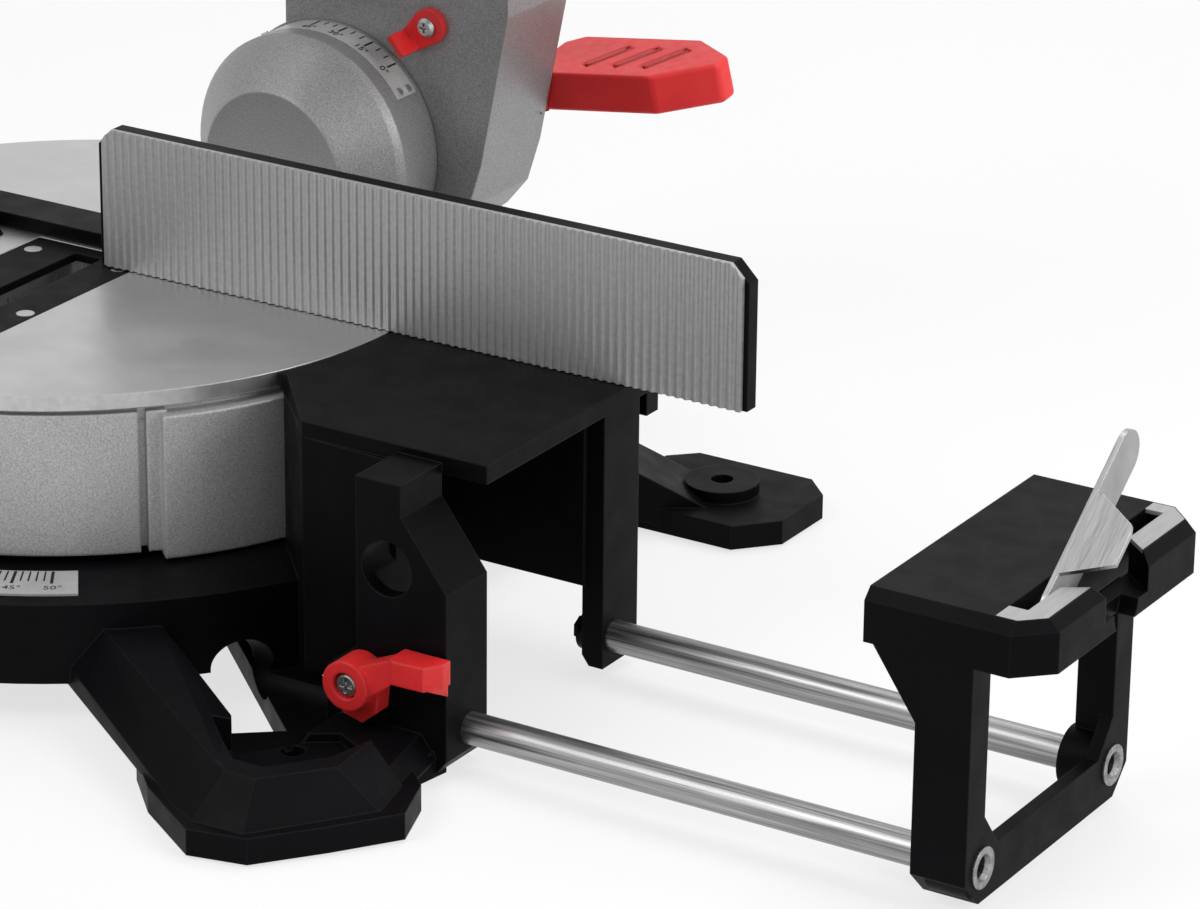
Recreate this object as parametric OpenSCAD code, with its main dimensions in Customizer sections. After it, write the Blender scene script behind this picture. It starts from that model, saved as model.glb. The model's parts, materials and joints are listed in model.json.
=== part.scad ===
// Compound mitre saw for a 210 mm blade, with a pull-out work support at each side.
// Millimetres. The origin is on the bench under the turntable's axis, X runs along the fence to the right,
// Y runs from the user towards the fence, Z is up. The saw is drawn raised, at 0 degrees mitre and bevel.

/* [Table] */
// Height of the table above the bench
table_h = 112; // [110:0.5:118]
// Radius of the turntable's top
table_r = 147; // [144:0.5:148]
// Thickness of the turntable's top
table_t = 6; // [5:0.5:8]
// Half length of the base along the fence
base_half = 251; // [246:1:256]
// Thickness of the wing tables
wing_t = 7; // [6:0.5:9]
// Running gap between the turntable and the wings
table_gap = 1.5; // [1:0.25:2]

/* [Base] */
// Width of the base ring round the turntable's top
ring_w = 37; // [35:0.5:41]
// Height of the ring's underside above the bench
ring_z0 = 15; // [12:0.5:17]
// Height of the ledge that carries the mitre scale
ledge_z = 46; // [44:0.5:47]
// Thickness of the rubber feet below the casting
foot_rubber_t = 1; // [0.75:0.25:2]
// Half spacing of the bench bolts along the fence
bolt_half_x = 206; // [203:0.5:209]
// Half spacing of the bench bolts across the fence
bolt_half_y = 148; // [145:0.5:151]
// Diameter of the bench bolt holes
bolt_d = 9; // [7:0.5:10]
// Diameter of the turntable's pivot bolt
pivot_bolt_d = 12; // [10:0.5:14]

/* [Work supports] */
// Diameter of the support bars
bar_d = 12; // [10:0.5:13]
// Wall of the support bars
bar_wall = 2; // [1.5:0.25:2.5]
// Height of the bars above the bench
bar_z = 16; // [15:0.5:18]
// Distance of the front bar in front of the fence
bar_front = 103; // [101:0.5:105]
// Distance of the rear bar in front of the fence
bar_rear = 6.5; // [5:0.5:8]
// Outer face of the pulled-out end support
support_x = 456; // [440:1:470]
// Height of the end support's feet above the bench
support_lift = 3; // [1:0.5:6]
// Depth of the end support from front to back
support_w = 120; // [118:0.5:122]
// Angle of the flip-up stop above level
stop_angle = 37; // [0:1:53]
// Length of the flip-up stop from its pin
stop_len = 72; // [66:0.5:76]
// Width of the flip-up stop
stop_w = 16.5; // [14:0.5:17]

/* [Fence] */
// Height of the fence above the table
fence_h = 56; // [50:0.5:57]
// Thickness of the fence, without its facing
fence_t = 6; // [5:0.5:8]
// Half length of the fence
fence_half = 301; // [290:1:304]
// Thickness of the ribbed facing
facing_t = 2; // [1.5:0.25:2.5]
// Pitch of the facing's ribs
rib_pitch = 3.6; // [3:0.1:5]

/* [Bevel] */
// Front face of the bevel drum behind the fence line
drum_y = 132; // [130:0.5:134]
// Radius of the drum's front disc
drum_nose_r = 32; // [28:0.5:36]
// Radius of the drum's band
drum_r = 51; // [49:0.5:52]
// Front face of the bevel arm behind the fence line
arm_y = 178; // [177.5:0.25:180]
// Depth of the arm from front to back
arm_d = 45; // [43:0.5:46]
// Radius of the arm's flange
arm_r = 52; // [51:0.5:54]
// Diameter of the bevel shaft
bevel_shaft_d = 14; // [12:0.5:16]

/* [Head] */
// Angle by which the head is raised
raise = 40; // [36:0.5:42]
// Place of the head's hinge behind the fence line
hinge_y = 203; // [202:0.5:204]
// Height of the head's hinge above the table
hinge_z = 140; // [138:0.5:142]
// Diameter of the head's hinge pin
hinge_d = 14; // [12:0.5:16]
// Arbor in front of the fence line with the head down
arbor_front = 60; // [58:0.5:62]
// Height of the arbor above the table with the head down
arbor_z = 86; // [85:0.5:88]
// Diameter of the arbor
arbor_d = 16; // [14:0.5:18]
// Motor axis in front of the fence line with the head down
motor_front = 15; // [13:0.5:17]
// Height of the motor axis above the table with the head down
motor_z = 160; // [158:0.5:163]
// Outer radius of the motor housing
motor_r = 46; // [45:0.5:48]
// Length of the motor housing
motor_len = 132; // [125:1:140]

/* [Blade] */
// Diameter of the blade
blade_d = 210; // [200:1:212]
// Thickness of the blade
blade_t = 2.4; // [1.8:0.1:2.8]
// Number of teeth
teeth = 40; // [24:2:60]

/* [Hidden] */
// Radial clearance of turning and sliding fits
fit = 0.05;
// Gap between faces that move past each other
gap = 0.3;
$fn = 64;

black = [0.06, 0.06, 0.07];
silver = [0.66, 0.67, 0.68];
steel = [0.78, 0.79, 0.8];
red = [0.8, 0.08, 0.09];
rubber_grey = [0.12, 0.12, 0.12];

// Outline in X and Z, drawn out along Y from y0
module xz(y0, depth) {
    translate([0, y0 + depth, 0]) rotate([90, 0, 0]) linear_extrude(depth) children();
}

// Outline in Y and Z, drawn out along X from x0
module yz(x0, depth) {
    translate([x0, 0, 0]) rotate([90, 0, 90]) linear_extrude(depth) children();
}

// Cylinder along X from x0, with its axis at y and z
module rod_x(x0, y, z, r, len) {
    translate([x0, y, z]) rotate([0, 90, 0]) cylinder(r = r, h = len);
}

// Cylinder along Y from y0, with its axis at x and z
module rod_y(y0, x, z, r, len) {
    translate([x, y0, z]) rotate([-90, 0, 0]) cylinder(r = r, h = len);
}

module box(x0, x1, y0, y1, z0, z1) {
    translate([x0, y0, z0]) cube([x1 - x0, y1 - y0, z1 - z0]);
}

// The same shape at the right and at the left
module both_sides() {
    children();
    mirror([1, 0, 0]) children();
}

// One side only: 1 is the right side, -1 the left
module on_side(side) {
    if (side > 0) children();
    else mirror([1, 0, 0]) children();
}

// Wedge of a circle between two angles
module wedge(r, a0, a1) {
    steps = 12;
    far = r / cos((a1 - a0) / steps / 2);
    rim = [for (i = [0:steps]) let (a = a0 + (a1 - a0) * i / steps) far * [cos(a), sin(a)]];
    polygon(concat([[0, 0]], rim));
}

// Part of a ring between two angles
module ring_part(r0, r1, a0, a1) {
    intersection() {
        difference() {
            circle(r1, $fn = 96);
            circle(r0, $fn = 96);
        }
        wedge(r1 + 1, a0, a1);
    }
}

// Pan screw pointing down Z from its head's seat at the origin, with a cross recess
module pan_screw(head_r, head_h, shank_r, len) {
    slot_w = head_r * 0.24;
    difference() {
        rotate_extrude()
            polygon([[0, 0], [head_r, 0], [head_r, head_h * 0.5], [head_r * 0.72, head_h], [0, head_h]]);
        for (a = [0, 90]) rotate(a) translate([-head_r * 0.55, -slot_w / 2, head_h * 0.4])
            cube([head_r * 1.1, slot_w, head_h]);
    }
    translate([0, 0, -len]) cylinder(r = shank_r, h = len + 0.01);
}

// Hexagon socket screw pointing down Z from its head's seat at the origin
module socket_screw(head_r, head_h, shank_r, len) {
    difference() {
        cylinder(r = head_r, h = head_h);
        translate([0, 0, head_h * 0.4]) cylinder(r = head_r * 0.55, h = head_h, $fn = 6);
    }
    translate([0, 0, -len]) cylinder(r = shank_r, h = len + 0.01);
}

// Base
casting_z0 = foot_rubber_t;
ring_r = table_r + ring_w;
ring_wall = 8;
wing_z0 = table_h - wing_t;
well_r = table_r + 6;
bearing_z = ledge_z + 6;
bearing_r1 = table_r - 13;
bearing_r0 = bearing_r1 - 10;
hub_r = 28;
hub_z = ledge_z + 14;
rib_z0 = ring_z0 + 12;
rib_z1 = ledge_z - 4;
pad_h = 10;
boss_r = 15;
block_x0 = base_half - 38;
block_y0 = -bar_front - 15;
block_y1 = -bar_front + 11;
block_top_x = base_half - 19;
block_hole_r = 10.5;
block_hole_x = base_half - 25;
block_hole_z = table_h - 35.5;
post_x0 = base_half - 9;
wing_x0 = table_r - 19;
post_y0 = -bar_rear - 7.5;
post_y1 = -bar_rear + 16.5;
rear_wall_y = -15;
rear_wall_t = 8;
rear_wall_z0 = table_h - 75;
tunnel_r = bar_d / 2 + 4;
lock_x = block_x0 + 3.5;
lock_z = bar_z + 18;
lock_shank_r = 3;
fence_seat_y1 = 36;

// Outline of a front foot's pad on the bench, right side
front_pad = [[159, -177], [178, -196], [209, -216], [231, -211], [249, -188], [265, -165], [257, -143],
             [244, -131], [247, -112], [196, -112], [176, -150]];
// Foot of the facets on the pad, and the edges where they meet the top
front_rim = [[176, -184], [206, -211], [228, -210], [258, -168], [253, -147], [206, -140]];
front_top = [[184, -174], [212, -197], [225, -197], [243, -174], [241, -150], [206, -140]];
side_rim = [[256, -166], [252, -148], [243, -131], [245, -110], [198, -110], [202, -142]];
side_top = [[243, -170], [246, -147], [241, -130], [238, -108], [206, -108], [206, -138]];
front_top_z = 26;
side_top_z = 16;
front_rim_z = 9;
// Place below the ring at an angle from +X, inside its edge
function on_ring(inset, a, z) = [(ring_r - inset) * cos(a), (ring_r - inset) * sin(a), z];
// Corners of the leg between the ring and the pad
front_leg = [on_ring(9.5, -55, 14), on_ring(9.5, -55, 22), on_ring(7, -50.7, ring_z0 + 21),
             on_ring(8.5, -44.1, ring_z0 + 21), on_ring(8.5, -44.1, 14), [175, -191, 9], [206, -210.5, 9],
             [212, -197, front_top_z - 1], [198, -174, front_top_z - 1], [186, -158, front_top_z - 1],
             [186, -158, 9]];
front_pocket = [[184, -166], [209, -188], [222, -188], [237, -168], [241, -146], [216, -133], [200, -144]];
front_pocket_z = 13;
front_window = [[100, -84], [176, -145], [192, -132], [112, -60]];
// Floor round the window, between the leg, the ring and the block of the bar
front_web = [[128, -122], [186, -158], [200, -150], [240, -112], [205, -90], [178, -88], [150, -62],
             [112, -44], [104, -52]];
rear_pad = [[168, 118], [168, 168], [178, 178], [230, 178], [242, 166], [242, 134], [228, 118]];
rear_boss_h = 14;

module front_foot() {
    translate([0, 0, casting_z0]) {
        linear_extrude(pad_h) {
            polygon(front_pad);
            polygon(front_web);
        }
        // The floor rises to the wall of the ring
        linear_extrude(ring_z0 + 1 - casting_z0) intersection() {
            polygon(front_web);
            difference() {
                circle(ring_r - 1, $fn = 128);
                circle(ring_r - ring_wall + 1, $fn = 128);
            }
        }
    }
    hull() {
        translate([0, 0, front_rim_z]) linear_extrude(0.5) polygon(front_rim);
        translate([0, 0, front_top_z]) linear_extrude(0.5) polygon(front_top);
    }
    hull() {
        translate([0, 0, front_rim_z - 1]) linear_extrude(0.5) polygon(side_rim);
        translate([0, 0, side_top_z]) linear_extrude(0.5) polygon(side_top);
    }
    hull() for (p = front_leg) translate(p) cube(0.5);
}

module front_foot_holes() {
    translate([0, 0, front_pocket_z]) linear_extrude(table_h) polygon(front_pocket);
    translate([0, 0, -1]) linear_extrude(table_h) polygon(front_window);
    translate([bolt_half_x, -bolt_half_y, -1]) cylinder(d = bolt_d, h = table_h);
}

module rear_foot() {
    reach = norm([bolt_half_x, bolt_half_y]);
    translate([0, 0, casting_z0]) linear_extrude(pad_h) polygon(rear_pad);
    // Sloping leg from the ring to the pad
    rotate(atan2(bolt_half_y, bolt_half_x)) xz(-18, 36)
        polygon([[ring_r - 4, ring_z0 + 2], [ring_r - 4, ledge_z - 3], [ring_r + 14, ledge_z - 8],
                 [reach - 6, casting_z0 + pad_h - 1], [reach - 6, casting_z0 + 2],
                 [reach - 24, casting_z0 + 2]]);
    translate([bolt_half_x, bolt_half_y, casting_z0 + 1]) cylinder(r = boss_r, h = rear_boss_h);
}

// Upright block that guides the front bar
module bar_block() {
    low = support_lift;
    xz(block_y0, block_y1 - block_y0) polygon([
        [block_x0 - 13, low], [base_half - 4, low], [base_half, low + 5], [base_half, table_h - 40],
        [block_top_x, table_h - 15], [block_top_x, table_h - 3], [block_x0, table_h - 3],
        [block_x0, lock_z + 10], [block_x0 - 13, lock_z]]);
}

module wing() {
    difference() {
        union() {
            translate([0, 0, wing_z0]) linear_extrude(wing_t) polygon([
                [base_half, block_y1], [wing_x0 + 44, block_y1], [wing_x0 + 14, -58], [wing_x0, -52],
                [wing_x0, fence_seat_y1 + 2], [base_half, fence_seat_y1 + 2]]);
            // Walls below the table
            linear_extrude(wing_z0 + 1) polygon([
                [block_x0 + 8, block_y1 - 2], [block_x0 + 8, block_y1 + 6], [wing_x0 + 48, block_y1 + 6],
                [wing_x0 + 18, -52], [wing_x0 + 11, -57], [wing_x0 + 44, block_y1],
                [block_x0, block_y1 - 2]]);
            box(wing_x0 + 2, post_x0 + 1, rear_wall_y, rear_wall_y + rear_wall_t,
                rear_wall_z0, wing_z0 + 1);
            box(wing_x0 + 22, post_x0, fence_seat_y1 - 6, fence_seat_y1 + 2, wing_z0 - 16, wing_z0 + 1);
        }
        // Open below the ring's underside
        box(100, block_x0 - 8, -130, 60, -1, ring_z0);
        translate([0, 0, ledge_z]) cylinder(r = well_r, h = wing_z0 - ledge_z, $fn = 128);
        translate([0, 0, -1]) cylinder(r = table_r + table_gap, h = table_h + 2, $fn = 128);
    }
    // Post that guides the rear bar
    xz(post_y0, post_y1 - post_y0) polygon([[post_x0, 9], [post_x0 + 3, 5], [base_half, 5],
        [base_half, wing_z0 + 1], [post_x0, wing_z0 + 1]]);
}

module wing_holes() {
    // Finger hole and the hollow behind it
    rod_y(block_y0 - 1, block_hole_x, block_hole_z, block_hole_r, 20);
    box(block_x0 + 4, block_top_x, block_y0 + 6, block_y1 + 7, 38, table_h - 20);
    rod_x(block_x0 - 1, -bar_front, bar_z, bar_d / 2 + fit, base_half - block_x0 + 2);
    rod_x(post_x0 - 1, -bar_rear, bar_z, bar_d / 2 + fit, base_half - post_x0 + 2);
    rod_y(block_y0 - 1, lock_x, lock_z, lock_shank_r + fit, 16);
    for (x = fence_bolt_x) translate([x, fence_bolt_y, wing_z0 - 20]) cylinder(r = fence_bolt_r, h = 40);
}

module base_ring() {
    ring_side = ring_r - 14;
    intersection() {
        whole_ring();
        box(-ring_side, ring_side, -2 * ring_r, 2 * ring_r, 0, table_h);
    }
}

module whole_ring() {
    difference() {
        union() {
            translate([0, 0, ring_z0]) cylinder(r = ring_r, h = ledge_z - ring_z0, $fn = 128);
            translate([0, 0, ring_z0]) cylinder(r = hub_r, h = hub_z - ring_z0);
        }
        difference() {
            translate([0, 0, ring_z0 - 1])
                cylinder(r = ring_r - ring_wall, h = rib_z1 - ring_z0 + 1, $fn = 128);
            translate([0, 0, ring_z0 - 2]) cylinder(r = hub_r, h = ledge_z);
        }
        translate([0, 0, rib_z1 - 1]) difference() {
            cylinder(r = bearing_r0, h = 30, $fn = 128);
            translate([0, 0, -1]) cylinder(r = hub_r, h = 40);
        }
    }
    translate([0, 0, rib_z1]) difference() {
        cylinder(r = bearing_r1, h = bearing_z - rib_z1, $fn = 128);
        translate([0, 0, -1]) cylinder(r = bearing_r0, h = 30, $fn = 128);
    }
    for (a = [0:45:315]) rotate(a) box(hub_r - 2, ring_r - 6, -4, 4, rib_z0, rib_z1 + 1);
}

module base_casting() {
    color(black) difference() {
        union() {
            base_ring();
            both_sides() {
                wing();
                bar_block();
                difference() {
                    front_foot();
                    front_foot_holes();
                }
                rear_foot();
            }
        }
        both_sides() {
            wing_holes();
            translate([bolt_half_x, bolt_half_y, -1]) cylinder(d = bolt_d, h = table_h / 2);
            for (y = [-bolt_half_y, bolt_half_y]) translate([bolt_half_x, y, casting_z0 - 1])
                cylinder(r = rubber_r + fit, h = 1 + rubber_seat);
        }
        // Room for the bars below the ring
        rod_x(-block_x0, -bar_front, bar_z, tunnel_r, 2 * block_x0);
        rod_x(-post_x0, -bar_rear, bar_z, tunnel_r, 2 * post_x0);
        translate([0, 0, -1]) cylinder(d = pivot_bolt_d + 2 * fit, h = table_h);
    }
}

rubber_r = 12;
rubber_seat = 3;

module rubber_feet() {
    color(rubber_grey) for (x = [-bolt_half_x, bolt_half_x], y = [-bolt_half_y, bolt_half_y])
        translate([x, y, 0]) difference() {
            cylinder(r = rubber_r, h = casting_z0 + rubber_seat);
            translate([0, 0, -1]) cylinder(d = bolt_d, h = 30);
        }
}

bolt_head_r = pivot_bolt_d * 0.8;
bolt_seat_z = hub_z + 8;

module pivot_bolt() {
    color(steel) {
        translate([0, 0, bolt_seat_z + gap]) cylinder(r = bolt_head_r, h = 8, $fn = 6);
        translate([0, 0, ring_z0 - 6]) cylinder(d = pivot_bolt_d, h = bolt_seat_z + gap - ring_z0 + 6.01);
        translate([0, 0, ring_z0 - 8]) cylinder(r = bolt_head_r, h = 8, $fn = 6);
    }
}

// The scale's zero lies to the left of the nose, under the pointer
scale_zero = -16;
scale_r0 = table_r + 8;
scale_r1 = ring_r - 8;
scale_t = 1;
scale_left = 47;
scale_right = 53.3;

module mitre_scale() {
    color(silver) translate([0, 0, ledge_z]) rotate(-90 + scale_zero - scale_left)
        rotate_extrude(angle = scale_left + scale_right, $fn = 128) translate([scale_r0, 0])
            square([scale_r1 - scale_r0, scale_t]);
}

// Fence
fence_z0 = table_h + gap;
fence_z1 = table_h + fence_h;
fence_right_x = 12.5;
facing_inset = 2;
fence_left_low = -40;
fence_left_high = -98;
fence_flange_z = table_h + 6;
fence_bolt_x = [base_half - 75, base_half - 19];
fence_bolt_y = 24;
fence_bolt_r = 3;
fence_corner = 7;
mitre_relief = 0.6 * fence_t;

module fence_outline_right() {
    polygon([[fence_right_x, fence_z0], [fence_half, fence_z0], [fence_half, fence_z1 - fence_corner],
             [fence_half - fence_corner, fence_z1], [fence_right_x + fence_corner, fence_z1],
             [fence_right_x, fence_z1 - fence_corner]]);
}

module fence_outline_left() {
    polygon([[fence_left_low, fence_z0], [fence_left_high, fence_z1 - 0.01],
             [-fence_half + fence_corner, fence_z1], [-fence_half, fence_z1 - fence_corner],
             [-fence_half, fence_z0]]);
}

module fence() {
    y0 = facing_t;
    y1 = facing_t + fence_t;
    color(black) difference() {
        union() {
            xz(y0, fence_t) fence_outline_right();
            xz(y0, fence_t) fence_outline_left();
            box(-base_half + 4, base_half - 4, y1 + 8, fence_seat_y1, table_h, fence_flange_z);
            both_sides() box(60, base_half - 4, y1 - 1, fence_seat_y1, table_h, fence_flange_z);
            // Gussets behind the fence
            both_sides() for (x = [base_half - 135, base_half - 51]) yz(x, 6)
                polygon([[y1 - 1, table_h + 40], [y1 - 1, fence_flange_z - 1],
                         [fence_seat_y1 - 4, fence_flange_z - 1]]);
        }
        // Room for the turntable below the bridge
        translate([0, 0, table_h - 1]) cylinder(r = table_r + 3, h = 1 + gap, $fn = 128);
        both_sides() for (x = fence_bolt_x) translate([x, fence_bolt_y, table_h - 1])
            cylinder(r = fence_bolt_r + 0.3, h = 20);
        // The inner ends lean back for mitre cuts
        translate([fence_right_x, y0, fence_z0 - 1]) linear_extrude(fence_h + 2)
            polygon([[-1, -0.01], [0, -0.01], [mitre_relief, fence_t + 0.01], [-1, fence_t + 0.01]]);
    }
}

// Comb outline of a ribbed strip between two places along X
module comb(x0, x1) {
    count = floor((x1 - x0) / rib_pitch);
    step = (x1 - x0) / count;
    rib_d = 0.9;
    rib = [[0, rib_d], [0.3, rib_d], [0.5, 0], [0.8, 0]];
    ribs = [for (i = [0:count - 1], p = rib) [x0 + step * (i + p[0]), p[1]]];
    polygon(concat([[x0, facing_t]], ribs, [[x1, 0], [x1, facing_t]]));
}

module fence_facings() {
    color(silver) {
        intersection() {
            translate([0, 0, fence_z0]) linear_extrude(fence_h)
                comb(fence_right_x + facing_inset, fence_half - facing_inset);
            xz(-1, facing_t + 2) fence_outline_right();
        }
        intersection() {
            translate([0, 0, fence_z0]) linear_extrude(fence_h)
                comb(-fence_half + facing_inset, fence_left_low - facing_inset);
            xz(-1, facing_t + 2) fence_outline_left();
        }
    }
}

module fence_bolts() {
    color(steel) both_sides() for (x = fence_bolt_x) translate([x, fence_bolt_y, fence_flange_z])
        socket_screw(5, 6, fence_bolt_r, 22);
}

// Work supports, drawn for the right side
support_mid = -(bar_front + bar_rear) / 2;
support_y0 = support_mid - support_w / 2;
support_y1 = support_mid + support_w / 2;
support_leg_t = 21;
support_rear_t = 14.5;
support_plate_t = 5;
support_boss_t = 16;
support_in_x = support_x - 41.5;
support_out_x = support_x + 25;
beam_h = 19;
beam_y1 = support_y1 + 5;
beam_corner = 12;
bar_rim_t = 0.8;
bar_rim_r = bar_d / 2 + 1.5;
beam_z0 = table_h - beam_h;
leg_w = 12.5;
strip_t = 1.5;
beam_bevel = 4;
slot_x0 = support_x + 5;
slot_x1 = support_x + 12;
slot_y0 = support_mid - 46;
slot_y1 = support_mid + 54;
stop_pin_r = 2.5;
stop_y = support_mid - 21.7;
stop_z = table_h - stop_w / 2 - 0.5;
stop_t = 2;
stop_x = (slot_x0 + slot_x1 - stop_t) / 2;
front_bar_in = block_x0 - gap;
rear_bar_in = post_x0 - gap;
stop_washer_t = 2.5;

module support_bars(side) {
    color(steel) on_side(side) for (b = [[-bar_front, front_bar_in], [-bar_rear, rear_bar_in]])
        difference() {
            union() {
                rod_x(b[1], b[0], bar_z, bar_d / 2, support_x - b[1]);
                // Flared outer end
                rod_x(support_x, b[0], bar_z, bar_rim_r, bar_rim_t);
            }
            rod_x(b[1] - 1, b[0], bar_z, bar_d / 2 - bar_wall, support_x - b[1] + 2);
            translate([support_x - 1, b[0], bar_z]) rotate([0, 90, 0])
                cylinder(r1 = bar_d / 2 - bar_wall, r2 = bar_d / 2 - bar_wall / 2, h = 1.01 + bar_rim_t);
        }
}

// End screws that keep the bars in their guides
module bar_stops(side) {
    color(black) on_side(side) for (b = [[-bar_front, front_bar_in], [-bar_rear, rear_bar_in]]) {
        rod_x(b[1] - stop_washer_t, b[0], bar_z, bar_d / 2 + 1.5, stop_washer_t);
        rod_x(b[1] - 0.01, b[0], bar_z, bar_d / 2 - bar_wall, 12);
        translate([b[1] - stop_washer_t - 3, b[0], bar_z]) rotate([0, 90, 0])
            cylinder(r = 4.5, h = 3.01, $fn = 6);
    }
}

// Plan of the top beam from an inner side x0, with its other sides drawn in by an inset
module beam_shape(x0, inset) {
    x1 = support_out_x - inset;
    cut_x = support_out_x - beam_corner;
    polygon([[x0, support_y0 + inset], [cut_x, support_y0 + inset], [x1, support_y0 + beam_corner],
             [x1, beam_y1 - beam_corner], [cut_x, beam_y1 - inset], [x0, beam_y1 - inset]]);
}

// Notch that the stop's leaf folds into
module leaf_notch() {
    x0 = slot_x1 - 1;
    x1 = support_out_x + 1;
    translate([0, support_mid, 0]) linear_extrude(30) polygon([[x0, -24], [x0, 29], [x1, 16], [x1, -14]]);
}

support_chamfer = 10;

// Side view of the end support below its beam
module support_outline() {
    low = support_lift + support_chamfer;
    polygon([[support_y0, low], [support_y0 + support_chamfer, support_lift],
             [support_y1 - support_chamfer, support_lift], [support_y1, low], [support_y1, beam_z0 + 1],
             [support_y0, beam_z0 + 1]]);
}

module end_support(side) {
    chamfer = support_chamfer;
    win_y0 = support_y0 + leg_w;
    win_y1 = support_y1 - leg_w;
    win_z0 = support_lift + 18.5;
    x0 = support_x - support_leg_t;
    color(black) on_side(side) difference() {
        union() {
            yz(support_x - support_plate_t, support_plate_t) difference() {
                support_outline();
                polygon([[win_y0, win_z0 + 13], [win_y0 + chamfer, win_z0], [win_y1 - chamfer, win_z0],
                         [win_y1, win_z0 + 13], [win_y1, beam_z0 + 2], [win_y0, beam_z0 + 2]]);
            }
            // Legs, deeper at the front
            for (leg = [[support_y0, support_leg_t], [win_y1, support_rear_t]]) intersection() {
                yz(support_x - leg[1], leg[1]) support_outline();
                box(0, 2 * support_x, leg[0], leg[0] + leg_w, 0, table_h);
            }
            for (y = [support_y0, win_y1]) xz(y, leg_w) polygon([
                [support_x - 1, table_h - 43.5], [x0, table_h - 43.5], [support_in_x, table_h - 13.5],
                [support_in_x, table_h - 8], [support_x - 1, table_h - 8]]);
            hull() {
                translate([0, 0, beam_z0]) linear_extrude(beam_h - beam_bevel) beam_shape(support_in_x, 0);
                translate([0, 0, table_h - 0.5]) linear_extrude(0.5) beam_shape(support_in_x, beam_bevel);
            }
            for (y = [-bar_front, -bar_rear])
                rod_x(support_x - support_boss_t, y, bar_z, bar_d / 2 + 5.5, support_boss_t - 1);
        }
        for (y = [-bar_front, -bar_rear])
            rod_x(support_in_x, y, bar_z, bar_d / 2, support_out_x - support_in_x);
        box(slot_x0, slot_x1, slot_y0, slot_y1, beam_z0 - 1, table_h + 1);
        translate([0, 0, table_h - 13]) leaf_notch();
        // Thumb scoop below the notch
        rod_x(slot_x1 + 6, support_mid + 1, table_h - 13, 9, 30);
        translate([0, 0, table_h - strip_t]) linear_extrude(3) strip_plan();
        rod_x(slot_x0 - 4, stop_y, stop_z, stop_pin_r, 20);
    }
}

// Plan of the bare strip on the beam, without the slot
module strip_plan() {
    beam_shape(slot_x0, beam_bevel + 0.5);
}

module wear_strip(side) {
    color(silver) on_side(side) difference() {
        translate([0, 0, table_h - strip_t]) linear_extrude(strip_t) strip_plan();
        box(slot_x0 - 1, slot_x1, slot_y0, slot_y1, 0, table_h + 1);
        translate([0, 0, table_h - 13]) leaf_notch();
    }
}

module stop_pin(side) {
    color(steel) on_side(side) rod_x(slot_x0 - 4, stop_y, stop_z, stop_pin_r, slot_x1 - slot_x0 + 8);
}

module flip_stop(side) {
    half = stop_w / 2;
    leaf_x = support_out_x - stop_x + 1;
    color(steel) on_side(side) translate([stop_x, stop_y, stop_z]) rotate([stop_angle, 0, 0]) difference() {
        union() {
            yz(0, stop_t) {
                circle(half);
                translate([0, -half]) square([stop_len - half, stop_w]);
                translate([stop_len - half, 0]) circle(half);
            }
            // Leaf bent out of the upper edge, for the thumb
            translate([0, 0, half - stop_t]) linear_extrude(stop_t)
                polygon([[0, 8], [0, 42], [4, 42], [leaf_x, 33], [leaf_x + 1, 30], [leaf_x + 1, 17]]);
        }
        rod_x(-1, 0, 0, stop_pin_r + fit, stop_t + 2);
    }
}

// Bar lock lever
lock_y0 = block_y0 - 13;
lock_y1 = block_y0 - gap;
lock_boss_r = 9.3;
lock_head_r = 5;
paddle_len = 20;
paddle_tip = 37;
paddle_z0 = 5.5;
paddle_z1 = 14.5;

module lock_lever(side) {
    color(red) on_side(side) difference() {
        union() {
            rod_y(lock_y0, lock_x, lock_z, lock_boss_r, lock_y1 - lock_y0);
            translate([lock_x, 0, lock_z]) {
                // Cam that presses on the bar's clamp
                xz(lock_y0 + 5, lock_y1 - lock_y0 - 5)
                    polygon([[-8, -4], [-4, -13], [4, -15], [10, -10], [11, 0], [5, 8]]);
                xz(lock_y0 + 2, 8)
                    polygon([[4, -7], [paddle_len, paddle_z0], [paddle_len, paddle_z1], [5, 8]]);
                // Paddle, sloped below so that a finger can lift it
                translate([0, 0, paddle_z0]) linear_extrude(paddle_z1 - paddle_z0) polygon([
                    [paddle_len - 2, lock_y0 + 2], [paddle_len, lock_y0], [paddle_len + 13, lock_y0 + 0.5],
                    [paddle_tip - 2, lock_y0 + 4], [paddle_tip, lock_y0 + 7], [paddle_tip, lock_y1 - 1],
                    [paddle_len - 2, lock_y1 - 1]]);
                yz(paddle_len - 1, paddle_len - 3) translate([0, paddle_z0])
                    polygon([[lock_y0 + 1, 0.5], [lock_y1 - 1, 0.5], [lock_y1 - 1, -5]]);
            }
        }
        rod_y(lock_y0 - 1, lock_x, lock_z, lock_head_r + fit, 5);
        rod_y(lock_y0 - 1, lock_x, lock_z, lock_shank_r, 20);
        // Grip grooves below the paddle
        translate([lock_x + paddle_len, lock_y0, lock_z + paddle_z0 - 2.5]) rotate([-24, 0, 0])
            for (i = [0:3]) box(2 + 4 * i, 4 + 4 * i, -2, 14, -8, -0.6);
    }
}

module lock_screw(side) {
    color(steel) on_side(side) translate([lock_x, lock_y0 + 4, lock_z]) rotate([90, 0, 0])
        pan_screw(lock_head_r, 3.4, lock_shank_r, 22);
}

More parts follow.
